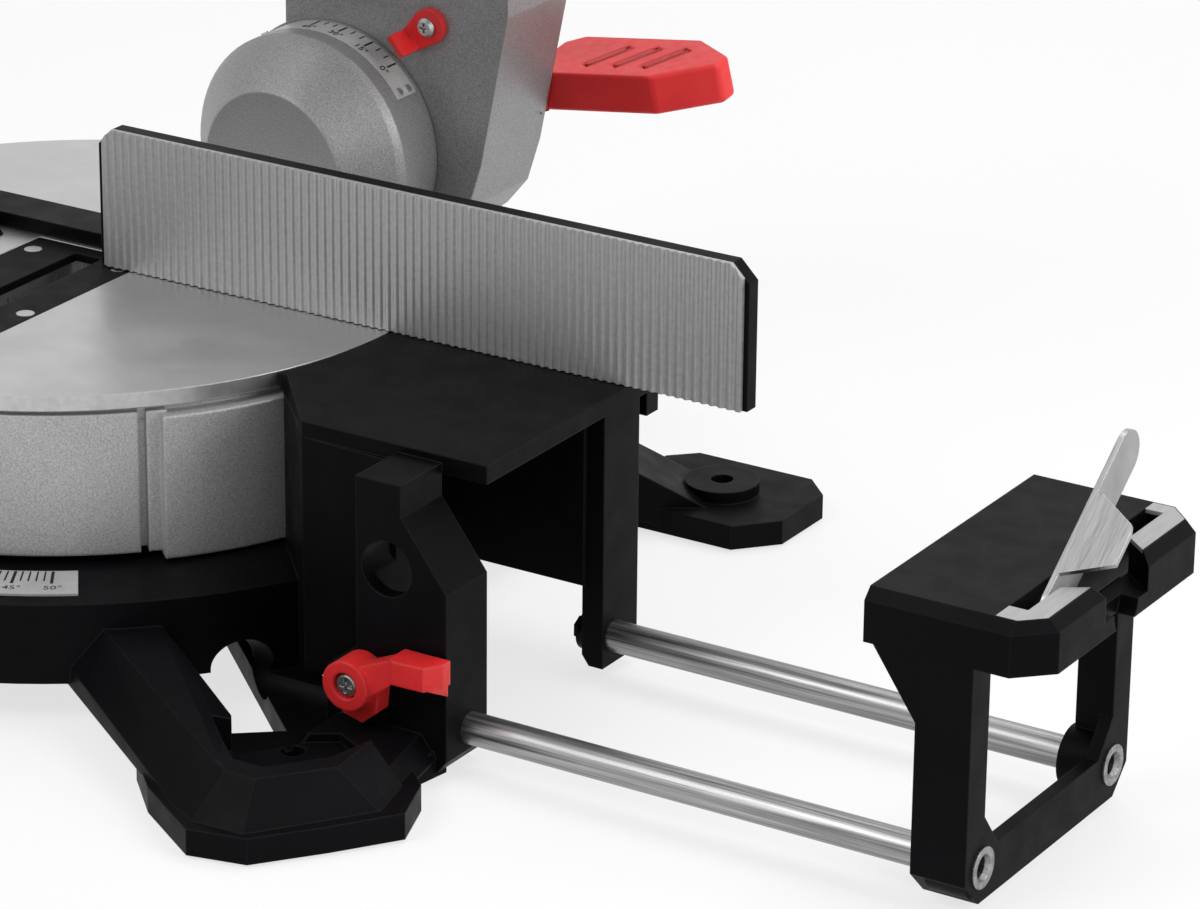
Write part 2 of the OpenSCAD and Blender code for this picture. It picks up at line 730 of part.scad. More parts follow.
// Turntable
skirt_r = table_r - 1;
skirt_t = 5;
skirt_z0 = ledge_z + 3;
flank_r = table_r + 4;
flank_z0 = ledge_z + 1.5;
seam_z1 = table_h - table_t;
seam_z0 = seam_z1 - 2;
nose_half = 26;
nose_y0 = -table_r - 59;
nose_z0 = ledge_z + 16;
knob_z = (nose_z0 + seam_z1) / 2;
knob_stud_r = 5;
kerf_half = 27;
kerf_y0 = 19 - table_r;
kerf_y1 = 14;
kerf_t = 3.5;
neck_half = 40;
front_turn = 46.4;
groove_turn = 1.2;
groove_d = 3.5;
flank_turn = 49.6;

// Sector of a wall, turned about the table's axis; the angles are from the front towards the right
module table_wall(r0, r1, z0, z1, a0, a1) {
    rotate(-90 + a0) rotate_extrude(angle = a1 - a0, $fn = 128)
        translate([r0, z0]) square([r1 - r0, z1 - z0]);
}

// Solid turned about the bevel axis, from points of radius and place along Y; its seam is off the table
module bevel_turned(points) {
    translate([0, 0, table_h]) rotate([-90, 0, 0]) rotate(37) rotate_extrude($fn = 96) polygon(points);
}

module turntable() {
    inner = skirt_r - skirt_t;
    panel_turn = flank_turn + 1 - front_turn - groove_turn;
    color(silver) difference() {
        union() {
            translate([0, 0, seam_z1]) cylinder(r = table_r, h = table_t, $fn = 128);
            translate([0, 0, seam_z0 - 4]) cylinder(r = inner + 2, h = seam_z1 - seam_z0 + 4.01, $fn = 128);
            // Skirt: a plain core, the front panel, a narrow panel beside each groove, and the flank
            table_wall(inner, skirt_r - groove_d, skirt_z0 + 1, seam_z0 - 2, 0, 360);
            table_wall(inner + 1, skirt_r, skirt_z0, seam_z0, -front_turn, front_turn);
            for (a = [-flank_turn - 1, front_turn + groove_turn])
                table_wall(inner + 1, skirt_r, skirt_z0, seam_z0, a, a + panel_turn);
            table_wall(inner + 2, flank_r, flank_z0, seam_z0 - 1, flank_turn, 360 - flank_turn);
            // Bearing ring, hub and ribs below the top
            table_wall(bearing_r0 + 2, bearing_r1 - 2, bearing_z + gap, seam_z1, 0, 360);
            translate([0, 0, hub_z + gap]) cylinder(r = hub_r - 2, h = seam_z1 - hub_z);
            for (a = [22.5:45:337.5]) rotate(a)
                box(hub_r - 4, inner + 1, -3, 3, seam_z1 - 24, seam_z1 + 0.5);
            // Nose that carries the mitre lock
            yz(-nose_half, 2 * nose_half) polygon([
                [-inner - 2, nose_z0], [nose_y0 + 14, nose_z0], [nose_y0, nose_z0 + 10],
                [nose_y0, seam_z1 - 6], [nose_y0 + 10, seam_z1 - 2], [-inner - 2, seam_z1 - 2]]);
            // Lugs and pin of the detent lever
            for (x = [-detent_half - gap - lug_t, detent_half + gap]) yz(x, lug_t) {
                translate([detent_y, detent_z]) circle(5);
                translate([detent_y - 5, detent_z]) square([10, nose_z0 + 1 - detent_z]);
            }
            rod_x(-detent_half - 1, detent_y, detent_z, detent_pin_r, 2 * detent_half + 2);
            // Neck and bevel drum
            box(-neck_half, neck_half, inner + 1, drum_y + 26, table_h - drum_r + 4, seam_z0);
            bevel_turned([[0, drum_y], [drum_nose_r, drum_y], [drum_nose_r + 1.5, drum_y + 1.5],
                          [drum_r - 2, drum_y + 19], [drum_r, drum_y + 22], [drum_r, arm_y - gap],
                          [0, arm_y - gap]]);
        }
        translate([0, 0, hub_z]) cylinder(d = pivot_bolt_d + 2 * fit, h = 60);
        translate([0, 0, bolt_seat_z]) cylinder(r = bolt_head_r + 1, h = 60);
        // Seat of the kerf plate and the blade's slot
        box(-kerf_half, kerf_half, kerf_y0, kerf_y1, table_h - kerf_t, table_h + 1);
        box(-15, 17, kerf_y0 + 6, kerf_y1 - 6, bolt_seat_z + 8, table_h + 1);
        for (x = kerf_screw_x, y = kerf_screw_y) translate([x, y, table_h - 14]) cylinder(r = 2, h = 20);
        rod_y(nose_y0 - 1, 0, knob_z, knob_stud_r + fit, 50);
        rod_y(shaft_y0, 0, table_h, bevel_shaft_d / 2, arm_y - shaft_y0);
        // Bed of the bevel scale
        bevel_scale_ring(drum_r - 1, drum_r + 2);
    }
}

kerf_screw_x = [-21, 21];
kerf_screw_y = [kerf_y0 + 12, -57, kerf_y1 - 12];

module kerf_plate() {
    play = 0.2;
    half = kerf_half - play;
    color(black) difference() {
        box(-half, half, kerf_y0 + play, kerf_y1 - play, table_h - kerf_t, table_h - 0.2);
        box(-4, 9, kerf_y0 + 6, kerf_y1 - 7, 0, table_h + 1);
        for (x = kerf_screw_x, y = kerf_screw_y) translate([x, y, table_h - 20]) {
            cylinder(r = 2.2, h = 40);
            translate([0, 0, 18]) cylinder(r1 = 2.2, r2 = 4.2, h = 2.01);
        }
    }
}

module kerf_screws() {
    color(steel) for (x = kerf_screw_x, y = kerf_screw_y) translate([x, y, table_h - 0.4]) {
        translate([0, 0, -1.6]) cylinder(r1 = 2, r2 = 3.6, h = 1.6);
        translate([0, 0, -12]) cylinder(r = 2, h = 10.5);
    }
}

// Red pointer below the skirt, over the scale
module mitre_pointer() {
    color(red) rotate(scale_zero) {
        box(-7, 7, -skirt_r - 2, -skirt_r, skirt_z0 + 2, skirt_z0 + 18);
        translate([0, -skirt_r, ledge_z + scale_t + 0.8]) linear_extrude(1.5)
            polygon([[-7, 0], [7, 0], [7, -3], [0, -17], [-7, -3]]);
        box(-7, 7, -skirt_r - 2, -skirt_r, ledge_z + scale_t + 0.8, skirt_z0 + 3);
    }
}

bevel_scale_a0 = 34;
bevel_scale_a1 = 126;
bevel_scale_y0 = arm_y - 16;
bevel_scale_w = 13;

// Ring sector about the bevel axis; the angles are from +X towards +Z
module bevel_scale_ring(r0, r1) {
    translate([0, bevel_scale_y0 + bevel_scale_w, table_h]) rotate([90, 0, 0])
        rotate(bevel_scale_a0) rotate_extrude(angle = bevel_scale_a1 - bevel_scale_a0, $fn = 128)
            translate([r0, 0]) square([r1 - r0, bevel_scale_w]);
}

module bevel_scale() {
    rivet_r = 1.6;
    color(silver) {
        bevel_scale_ring(drum_r - 1, drum_r);
        for (p = [[bevel_scale_a0 + 3, 3.5], [bevel_scale_a0 + 3, 9.5], [bevel_scale_a1 - 3, 6.5]])
            translate([0, bevel_scale_y0 + p[1], table_h]) rotate([0, -p[0], 0])
                rod_x(drum_r - 1, 0, 0, rivet_r, 1.7);
    }
}

shaft_nut_r = bevel_shaft_d / 2 + 3.5;
// The shaft is pressed into the drum from behind
shaft_y0 = drum_y + 10;
lever_y0 = arm_y + arm_d + gap;
lever_hub_d = 26;

module bevel_shaft() {
    color(steel) {
        rod_y(shaft_y0, 0, table_h, bevel_shaft_d / 2, lever_y0 + lever_hub_d + 10 - shaft_y0);
        translate([0, lever_y0 + lever_hub_d + gap, table_h]) rotate([-90, 0, 0])
            cylinder(r = shaft_nut_r, h = 9, $fn = 6);
    }
}

module mitre_knob() {
    grip_y = nose_y0 - gap;
    color(black) {
        rod_y(grip_y - 2, 0, knob_z, knob_stud_r, 46);
        translate([0, grip_y, knob_z]) rotate([90, 0, 0]) {
            rotate_extrude()
                polygon([[0, 0], [13, 0], [13, 6], [16, 12], [20, 30], [20, 44], [16, 51], [0, 53]]);
            for (a = [0:60:300]) rotate(a) translate([19, 0, 20]) cylinder(r = 4, h = 26, $fn = 32);
        }
    }
}

detent_y = nose_y0 + 18;
detent_z = nose_z0 - 7;
detent_half = 9;
detent_pin_r = 2;
lug_t = 4;
// The lever ends short of the skirt
detent_len = -skirt_r - 6 - detent_y;

module detent_lever() {
    color(black) difference() {
        union() {
            yz(-detent_half, 2 * detent_half) translate([detent_y, detent_z]) polygon([
                [-44, -5], [-40, -8], [-17, -4], [28, -3], [detent_len, -3], [detent_len, 2],
                [8, 4], [-12, 4], [-42, -1]]);
            rod_x(-detent_half, detent_y, detent_z, 5, 2 * detent_half);
        }
        rod_x(-2 * detent_half, detent_y, detent_z, detent_pin_r + fit, 4 * detent_half);
    }
}

// Bevel arm
ear_left_x0 = -24;
ear_left_x1 = -4;
ear_right_x0 = 64;
ear_right_x1 = 85;
ear_r = 34;
web_z = table_h + 103;
hinge_h = table_h + hinge_z;
lock_pin_r = 4;
lock_pin_up = 25;
knuckle_x0 = ear_left_x1 + gap;
knuckle_x1 = 36;
depth_x = 18;
depth_y = arm_y + 10;

module bevel_arm() {
    arm_y1 = arm_y + arm_d;
    color(silver) difference() {
        union() {
            rod_y(arm_y, 0, table_h, arm_r, arm_d);
            xz(arm_y, arm_d) polygon([
                [ear_left_x0, table_h], [ear_left_x0, web_z], [ear_right_x1, web_z],
                [ear_right_x1, table_h + 66], [72, table_h + 1], [66, table_h - 18], [56, table_h - 30],
                [36, table_h - 46]]);
            for (x = [[ear_left_x0, ear_left_x1], [ear_right_x0, ear_right_x1]]) {
                yz(x[0], x[1] - x[0]) {
                    translate([hinge_y, hinge_h]) circle(ear_r);
                    polygon([[arm_y, web_z - 20], [arm_y1, web_z - 20], [hinge_y + ear_r * 0.62, hinge_h],
                             [hinge_y - ear_r * 0.74, hinge_h]]);
                }
            }
        }
        // The ears end flush with the arm's back
        box(-100, 100, arm_y1, arm_y1 + 60, 0, hinge_h + 100);
        rod_y(arm_y - 1, 0, table_h, bevel_shaft_d / 2 + fit, arm_d + 2);
        rod_x(-60, hinge_y, hinge_h, hinge_d / 2, 200);
        rod_x(ear_left_x0 - 1, hinge_y, hinge_h + lock_pin_up, lock_pin_r + fit, 30);
        translate([depth_x, depth_y, web_z - 30]) cylinder(r = 4, h = 60);
        translate([48, arm_y + 8, table_h + 57]) rotate([90, 0, 0]) cylinder(r = 2, h = 20);
        // Hollow of the arm, open at the back
        xz(arm_y + 8, arm_d) polygon([[26, table_h + 30], [26, web_z - 14], [72, web_z - 14],
            [72, table_h + 64], [62, table_h + 30]]);
    }
}

// Red pointer over the bevel scale
module bevel_pointer() {
    color(red) translate([48, arm_y, table_h + 57]) rotate([90, 0, 0]) difference() {
        union() {
            cylinder(r = 7.5, h = 3);
            linear_extrude(3) rotate(220) polygon([[0, -7.5], [12, -5], [12, 5], [0, 7.5]]);
            // Tip that reaches forward over the scale
            linear_extrude(14) rotate(220) polygon([[9.5, -5], [12, -5], [12, 5], [9.5, 5]]);
        }
        translate([0, 0, -1]) cylinder(r = 2 + fit, h = 10);
    }
}

module pointer_screw() {
    color(steel) translate([48, arm_y - 3, table_h + 57]) rotate([90, 0, 0]) pan_screw(4, 2.6, 2, 10);
}

module hinge_pin() {
    color(steel) {
        rod_x(ear_left_x0 - 5, hinge_y, hinge_h, hinge_d / 2 + 3, 5);
        rod_x(ear_left_x0 - 0.01, hinge_y, hinge_h, hinge_d / 2, ear_right_x1 - ear_left_x0 + 0.02);
        rod_x(ear_right_x1, hinge_y, hinge_h, hinge_d / 2 + 3, 5);
    }
}

// Torsion spring round the hinge pin
spring_x0 = knuckle_x1 + gap;
spring_x1 = ear_right_x0 - gap;
spring_r = 13;
spring_wire_r = 1.5;
spring_turns = 6;
spring_rings = 8 * spring_turns;
spring_sides = 6;
spring_pitch = (spring_x1 - spring_x0 - 2 * spring_wire_r) / spring_turns;
function spring_point(ring, side) =
    let (a = 360 * ring / 8, b = 360 * side / spring_sides, r = spring_r + spring_wire_r * cos(b))
    [spring_x0 + spring_wire_r + spring_pitch * ring / 8 + spring_wire_r * sin(b),
     hinge_y + r * cos(a), hinge_h + r * sin(a)];

// Least gap between neighbouring turns, measured on their points
spring_gap = min([for (i = [0:spring_rings - 8], a = [0:spring_sides - 1], b = [0:spring_sides - 1])
    norm(spring_point(i, a) - spring_point(i + 8, b))]);
echo(spring_gap = spring_gap);

module return_spring() {
    n = spring_sides;
    points = [for (i = [0:spring_rings], k = [0:n - 1]) spring_point(i, k)];
    sides = [for (i = [0:spring_rings - 1], k = [0:n - 1], t = [0, 1])
        let (a = i * n + k, b = i * n + (k + 1) % n, c = a + n, d = b + n) t == 0 ? [a, b, c] : [b, d, c]];
    first = [for (k = [1:n - 2]) [0, k + 1, k]];
    last = [for (k = [1:n - 2]) let (o = spring_rings * n) [o, o + k, o + k + 1]];
    color(steel) polyhedron(points = points, faces = concat(sides, first, last));
}

// Screw that stops the head at the bottom of its swing
depth_top = 10;

module depth_stop() {
    color(steel) translate([depth_x, depth_y, web_z]) {
        translate([0, 0, -26]) cylinder(r = 4, h = 26 + depth_top - 5);
        cylinder(r = 6.5, h = 5, $fn = 6);
        translate([0, 0, depth_top - 5.01]) cylinder(r = 6, h = 5, $fn = 6);
    }
}

lever_tilt = 8;
lever_t = 17;
lever_depth = 40;
lever_rise = 10.5;
lever_slope = 8;
lever_tip = 152;
lever_root = 66;

// Place of the bevel lever's paddle, which rises towards its back
module on_paddle() {
    translate([0, lever_y0 + lever_t * sin(lever_slope), lever_rise - lever_t / 2])
        rotate([lever_slope, 0, 0]) children();
}

module bevel_lever() {
    y0 = lever_y0;
    color(red) translate([0, 0, table_h]) rotate([0, -lever_tilt, 0]) difference() {
        union() {
            rod_y(y0, 0, 0, 19, lever_hub_d);
            // Crank up to the paddle
            xz(y0, 20) polygon([
                [4, -16], [lever_root + 8, lever_rise - 7], [lever_root + 8, lever_rise + 7],
                [30, lever_rise + 8], [-8, 16]]);
            // Paddle with a chamfered tip
            on_paddle() linear_extrude(lever_t) polygon([
                [lever_root, 4], [lever_root + 4, 0], [lever_tip - 24, 0], [lever_tip, 15],
                [lever_tip, 24], [lever_tip - 22, lever_depth], [lever_root + 6, lever_depth],
                [lever_root, lever_depth - 6]]);
        }
        rod_y(y0 - 1, 0, 0, bevel_shaft_d / 2 + fit, lever_hub_d + 2);
        // Grip grooves
        on_paddle() for (i = [0:2]) translate([lever_root + 30 + 14 * i, 20, lever_t - 1.5]) rotate(62)
            box(-11, 11, -1.6, 1.6, 0, 4);
    }
}

lock_pin_travel = 9;

module head_lock_pin() {
    x0 = ear_left_x0 - lock_pin_travel;
    y = hinge_y;
    z = hinge_h + lock_pin_up;
    color(black) {
        rod_x(x0 - 1, y, z, lock_pin_r, ear_left_x1 - x0);
        translate([x0 - 15, y, z]) rotate([0, 90, 0])
            rotate_extrude() polygon([[0, 0], [8, 0], [10, 3], [10, 9], [7, 14], [0, 14]]);
    }
}

// Head, drawn with the head down and then raised about the hinge
arbor_y = -arbor_front;
arbor_h = table_h + arbor_z;
motor_y = -motor_front;
motor_h = table_h + motor_z;
blade_r = blade_d / 2;
housing_x0 = 12;
housing_x1 = 46;
cover_x1 = 50;
arbor_boss_r = 22;
motor_boss_r = 48;
belt_x0 = 29;
belt_w = 13;
belt_t = 3;
driven_r = 17;
drive_r = 10;
guard_r0 = blade_r + 5;
guard_r1 = guard_r0 + 4;
guard_x0 = -12;
guard_a0 = -20;
guard_a1 = 190;

module raised() {
    translate([0, hinge_y, hinge_h]) rotate([-raise, 0, 0]) translate([0, -hinge_y, -hinge_h]) children();
}

// Outline round the arbor and the motor axis
module belt_outline(r_arbor, r_motor) {
    hull() {
        translate([arbor_y, arbor_h]) circle(r_arbor, $fn = 32);
        translate([motor_y, motor_h]) circle(r_motor, $fn = 32);
    }
}

// Neck from the belt housing to the hinge
module neck_outline() {
    polygon([[hinge_y, hinge_h + 24], [hinge_y, hinge_h - 18], [motor_y + 75, motor_h - 42],
             [motor_y, motor_h - 30], [motor_y - 20, motor_h + 44], [motor_y + 75, motor_h + 36]]);
}

module belt_housing() {
    color(silver) raised() difference() {
        union() {
            yz(housing_x0, housing_x1 - housing_x0) belt_outline(arbor_boss_r, motor_boss_r);
            yz(housing_x0, knuckle_x1 - housing_x0) neck_outline();
            rod_x(knuckle_x0, hinge_y, hinge_h, 26, knuckle_x1 - knuckle_x0);
            rod_x(knuckle_x0, hinge_y, hinge_h, ear_r - 2, 8);
            // Boss that the lower guard turns on
            rod_x(5.6, arbor_y, arbor_h, 24, 10);
        }
        rod_x(knuckle_x0 - 1, hinge_y, hinge_h, hinge_d / 2 + fit, 60);
        for (a = [90, 90 + raise]) translate([0, hinge_y, hinge_h])
            rod_x(knuckle_x0 - 1, lock_pin_up * cos(a), lock_pin_up * sin(a), lock_pin_r + 0.4, 12);
        rod_x(0, arbor_y, arbor_h, arbor_d / 2 + fit, 60);
        yz(belt_x0 - 3, 30) belt_outline(driven_r + belt_t + 1.5, drive_r + belt_t + 6);
    }
}

module belt_cover() {
    color(black) raised() difference() {
        yz(housing_x1, cover_x1 - housing_x1) belt_outline(arbor_boss_r, motor_boss_r);
        rod_x(housing_x1 - 1, motor_y, motor_h, shaft_r + fit, 10);
        rod_x(housing_x1 - 1, spindle_y, spindle_h, spindle_r + fit, 10);
    }
}

module drive_belt() {
    color(rubber_grey) raised() yz(belt_x0 + 0.5, belt_w - 1) difference() {
        belt_outline(driven_r + belt_t, drive_r + belt_t);
        belt_outline(driven_r + gap, drive_r + gap);
    }
}

module upper_guard() {
    color(silver) raised() translate([0, arbor_y, arbor_h]) difference() {
        yz(guard_x0, housing_x0 - guard_x0) ring_part(0, guard_r1, guard_a0, guard_a1);
        yz(guard_x0 + 2.5, housing_x0 - guard_x0 - 5) circle(guard_r0, $fn = 96);
        // Opening at the left for the arbor bolt, and the arbor boss at the right
        rod_x(guard_x0 - 1, 0, 0, 40, 10);
        rod_x(0, 0, 0, 26, 20);
        // Port of the dust spout
        translate([guard_x0 + spout_r, 0, 0]) rotate([-spout_turn, 0, 0]) translate([0, 0, guard_r0 - 4])
            cylinder(r = spout_bore_r, h = 12);
    }
}

guard_in_r1 = blade_r + 4.2;
lower_a0 = 190;
lower_a1 = 340;

module lower_guard() {
    half = 7.3;
    wall = 1.6;
    color([0.35, 0.36, 0.38, 0.7]) raised() translate([0, arbor_y, arbor_h]) {
        difference() {
            yz(-half, 2 * half) ring_part(0, guard_in_r1, lower_a0, lower_a1);
            yz(-half + wall, 2 * (half - wall)) circle(guard_in_r1 - 1.8, $fn = 96);
            rod_x(-half - 1, 0, 0, 45, 6);
            rod_x(0, 0, 0, 24 + fit, 20);
        }
        difference() {
            rod_x(half - wall, 0, 0, 31, wall);
            rod_x(0, 0, 0, 24 + fit, 20);
        }
    }
}

shaft_r = 5;
spindle_r = 3;
spindle_travel = 4;
spindle_y = arbor_y + 9;
spindle_h = arbor_h + 9;
motor_x1 = cover_x1 + motor_len;
cap_len = 28;

// Solid turned about the motor axis, from points of radius and place along X
module motor_turned(points) {
    raised() translate([0, motor_y, motor_h]) rotate([0, 90, 0]) rotate_extrude($fn = 96) polygon(points);
}

module motor_housing() {
    wall = 4;
    color(black) difference() {
        motor_turned([[motor_r - wall, cover_x1], [motor_r + 2, cover_x1], [motor_r + 2, cover_x1 + 10],
                      [motor_r, cover_x1 + 14], [motor_r, motor_x1], [motor_r - wall, motor_x1]]);
        raised() translate([0, motor_y, motor_h]) for (a = [0:30:330]) rotate([a, 0, 0])
            box(cover_x1 + 18, cover_x1 + 44, -2.5, 2.5, motor_r - wall - 1, motor_r + 4);
        raised() for (s = [-1, 1]) translate([brush_x, motor_y + s * (motor_r - wall - 1), motor_h])
            rotate([-90 * s, 0, 0]) cylinder(r = brush_r, h = 12);
    }
}

brush_x = motor_x1 - 14;
brush_r = 7;

module brush_caps() {
    color(black) raised() for (s = [-1, 1]) translate([brush_x, motor_y + s * (motor_r - 6), motor_h])
        rotate([-90 * s, 0, 0]) difference() {
            cylinder(r = brush_r, h = 8);
            translate([-5, -1, 6.5]) cube([10, 2, 4]);
        }
}

module motor_cap() {
    color(black) difference() {
        motor_turned([[shaft_r + fit, motor_x1], [motor_r, motor_x1], [motor_r, motor_x1 + 10],
                      [motor_r - 8, motor_x1 + cap_len], [0, motor_x1 + cap_len],
                      [0, motor_x1 + cap_len - 4], [shaft_r + fit, motor_x1 + cap_len - 4]]);
        raised() translate([0, motor_y, motor_h]) for (a = [0:30:330]) rotate([a, 0, 0])
            box(motor_x1 + 4, motor_x1 + 22, -2.5, 2.5, 16, motor_r + 4);
    }
}

module stator() {
    color([0.45, 0.3, 0.2]) motor_turned([[31, cover_x1 + 24], [motor_r - 4, cover_x1 + 24],
                                          [motor_r - 4, cover_x1 + 96], [31, cover_x1 + 96]]);
}

module armature() {
    color([0.6, 0.45, 0.3]) motor_turned([
        [0, belt_x0], [drive_r, belt_x0], [drive_r, belt_x0 + belt_w], [shaft_r, belt_x0 + belt_w],
        [shaft_r, cover_x1 + 26], [29, cover_x1 + 26], [29, cover_x1 + 94], [16, cover_x1 + 94],
        [16, cover_x1 + 112], [shaft_r, cover_x1 + 112], [shaft_r, motor_x1 + cap_len - 5],
        [0, motor_x1 + cap_len - 5]]);
}

module motor_fan() {
    color(black) raised() translate([0, motor_y, motor_h]) difference() {
        union() {
            rod_x(cover_x1 + 6, 0, 0, 38, 2);
            rod_x(cover_x1 + 6, 0, 0, 10, 12);
            for (a = [0:45:315]) rotate([a, 0, 0]) box(cover_x1 + 6, cover_x1 + 16, -1.2, 1.2, 8, 38);
        }
        rod_x(cover_x1, 0, 0, shaft_r, 40);
    }
}

// Handle
handle_x0 = 8;
handle_w = 34;
grip_r = 15;
// Path of the grip in Y and Z from the motor's axis
handle_path = [[-37, 54], [-103, 66], [-161, 54], [-191, 18], [-181, -18], [-135, -32], [-83, -10]];

module handle_link(i) {
    hull() for (k = [i, i + 1]) translate([motor_y, motor_h] + handle_path[k]) circle(grip_r, $fn = 32);
}

module handle() {
    color(black) raised() difference() {
        union() {
            for (i = [0:5]) yz(handle_x0, handle_w) handle_link(i);
            yz(housing_x0, cover_x1 - housing_x0) translate([motor_y, motor_h]) polygon([
                [-45, 42], [-83, -23], [-69, -32], [-motor_boss_r * 0.94, 18], [-13, 46], [-19, 64]]);
        }
        yz(housing_x0 - 20, 100) belt_outline(arbor_boss_r + fit, motor_boss_r + fit);
        translate([0, arbor_y, arbor_h]) rod_x(-40, 0, 0, guard_r1 + gap, 40 + housing_x0 + gap);
        trigger_shape(gap, trigger_travel);
        lock_off_shape(gap, lock_off_travel);
    }
}

trigger_y = motor_y - 125;
trigger_h = motor_h + 44;
trigger_half_x = 6;
trigger_half_y = 16;
trigger_half_z = 8;
trigger_travel = 6;

// Trigger body grown by a clearance; its pocket is deeper by the travel
module trigger_shape(grow, travel) {
    mid_x = handle_x0 + handle_w / 2;
    box(mid_x - trigger_half_x - grow, mid_x + trigger_half_x + grow, trigger_y - trigger_half_y - grow,
        trigger_y + trigger_half_y + grow, trigger_h - trigger_half_z, trigger_h + trigger_half_z + travel);
}

module trigger() {
    curve_r = 26;
    color(red) raised() difference() {
        trigger_shape(0, 0);
        // Hollow for the finger
        rod_x(0, trigger_y, trigger_h - trigger_half_z - curve_r + 2.5, curve_r, 2 * handle_w);
    }
}

lock_off_y = motor_y - 107;
lock_off_h = motor_h + 80;
lock_off_r = 6;
lock_off_travel = 4;

module lock_off_shape(grow, travel) {
    translate([handle_x0 + handle_w / 2, lock_off_y, lock_off_h - 6 - travel])
        cylinder(r = lock_off_r + grow, h = 12 + travel);
}

module lock_off_button() {
    color(red) raised() lock_off_shape(0, 0);
}

carry_x0 = 14;
carry_w = 22;

module carry_handle() {
    color(black) raised() difference() {
        yz(carry_x0, carry_w) translate([motor_y, motor_h]) polygon([
            [55, 36], [45, 80], [57, 92], [119, 78], [127, 64], [127, 12], [113, 18], [113, 62],
            [65, 74], [69, 30]]);
        yz(carry_x0 - 1, carry_w + 2) neck_outline();
    }
}

spout_r = 10;
spout_bore_r = 7.5;
spout_turn = 62;

module dust_spout() {
    color(black) raised() translate([guard_x0 + spout_r, arbor_y, arbor_h]) difference() {
        rotate([-spout_turn, 0, 0]) translate([0, 0, guard_r1 - 3]) difference() {
            cylinder(r = spout_r, h = 50);
            translate([0, 0, -1]) cylinder(r = spout_bore_r, h = 60);
        }
        rod_x(-2 * spout_r, 0, 0, guard_r1 + fit, 4 * spout_r);
    }
}

module spindle_lock() {
    color(red) raised() {
        rod_x(housing_x1 - 2, spindle_y, spindle_h, spindle_r, cover_x1 - housing_x1 + spindle_travel + 3);
        rod_x(cover_x1 + spindle_travel + gap, spindle_y, spindle_h, spindle_r + 3, 5);
    }
}

// Blade and drive
module tooth(i) {
    rotate(360 / teeth * i) translate([blade_r, 0]) polygon([[-8, 2], [-7.6, -9], [-1.5, -4.2], [0, 0]]);
}

module blade() {
    color(steel) raised() translate([0, arbor_y, arbor_h]) difference() {
        yz(-blade_t / 2, blade_t) {
            circle(blade_r - 6.5, $fn = 96);
            for (i = [0:teeth - 1]) tooth(i);
        }
        rod_x(-10, 0, 0, arbor_d / 2, 20);
    }
}

flange_r = 20;
flange_t = 4;

module arbor() {
    color(steel) raised() translate([0, arbor_y, arbor_h]) difference() {
        union() {
            rod_x(-blade_t / 2 - flange_t, 0, 0, arbor_d / 2, housing_x1 - 1 + blade_t / 2 + flange_t);
            // Toothed wheel that the belt turns
            rod_x(belt_x0, 0, 0, driven_r, belt_w);
        }
        rod_x(-blade_t / 2 - flange_t - 1, 0, 0, bolt_shank_r, bolt_shank_len + 1);
        // Holes that the spindle lock drops into
        for (a = [0:90:270]) rotate([a, 0, 0])
            rod_x(belt_x0 + belt_w - 5, spindle_y - arbor_y, spindle_h - arbor_h, spindle_r + gap, 10);
    }
}

bolt_shank_r = 4;
bolt_shank_len = 20;
bolt_flat_h = 5;

module arbor_bolt() {
    x0 = -blade_t / 2 - flange_t;
    color(steel) raised() translate([x0, arbor_y, arbor_h]) {
        rod_x(-0.01, 0, 0, bolt_shank_r, bolt_shank_len - 1);
        translate([-bolt_flat_h, 0, 0]) rotate([0, 90, 0])
            cylinder(r = arbor_d / 2 + 3, h = bolt_flat_h, $fn = 6);
    }
}

module arbor_flanges() {
    color(steel) raised() translate([0, arbor_y, arbor_h]) difference() {
        union() {
            rod_x(-blade_t / 2 - flange_t, 0, 0, flange_r, flange_t);
            rod_x(blade_t / 2, 0, 0, flange_r, flange_t);
        }
        rod_x(-20, 0, 0, arbor_d / 2, 40);
    }
}

base_casting();
rubber_feet();
pivot_bolt();
mitre_scale();
fence();
fence_facings();
fence_bolts();
support_bars(1);  // right_bars
end_support(1);  // right_end_support
wear_strip(1);  // right_wear_strip
bar_stops(1);  // right_bar_stops
stop_pin(1);  // right_stop_pin
flip_stop(1);  // right_flip_stop
lock_lever(1);  // right_lock_lever
lock_screw(1);  // right_lock_screw
support_bars(-1);  // left_bars
end_support(-1);  // left_end_support
wear_strip(-1);  // left_wear_strip
bar_stops(-1);  // left_bar_stops
stop_pin(-1);  // left_stop_pin
flip_stop(-1);  // left_flip_stop
lock_lever(-1);  // left_lock_lever
lock_screw(-1);  // left_lock_screw
turntable();
kerf_plate();
kerf_screws();
mitre_pointer();
bevel_scale();
bevel_shaft();
mitre_knob();
detent_lever();
bevel_arm();
bevel_pointer();
pointer_screw();
hinge_pin();
return_spring();
depth_stop();
bevel_lever();
head_lock_pin();
belt_housing();
belt_cover();
drive_belt();
upper_guard();
motor_housing();
motor_cap();
stator();
brush_caps();
handle();
carry_handle();
dust_spout();
trigger();
lock_off_button();
spindle_lock();
lower_guard();
blade();
arbor();
arbor_bolt();
arbor_flanges();
armature();
motor_fan();
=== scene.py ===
"""Compound mitre saw with pull-out work supports: looks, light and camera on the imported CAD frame."""
import json
import math

import bmesh
import bpy
from mathutils import Matrix, Vector


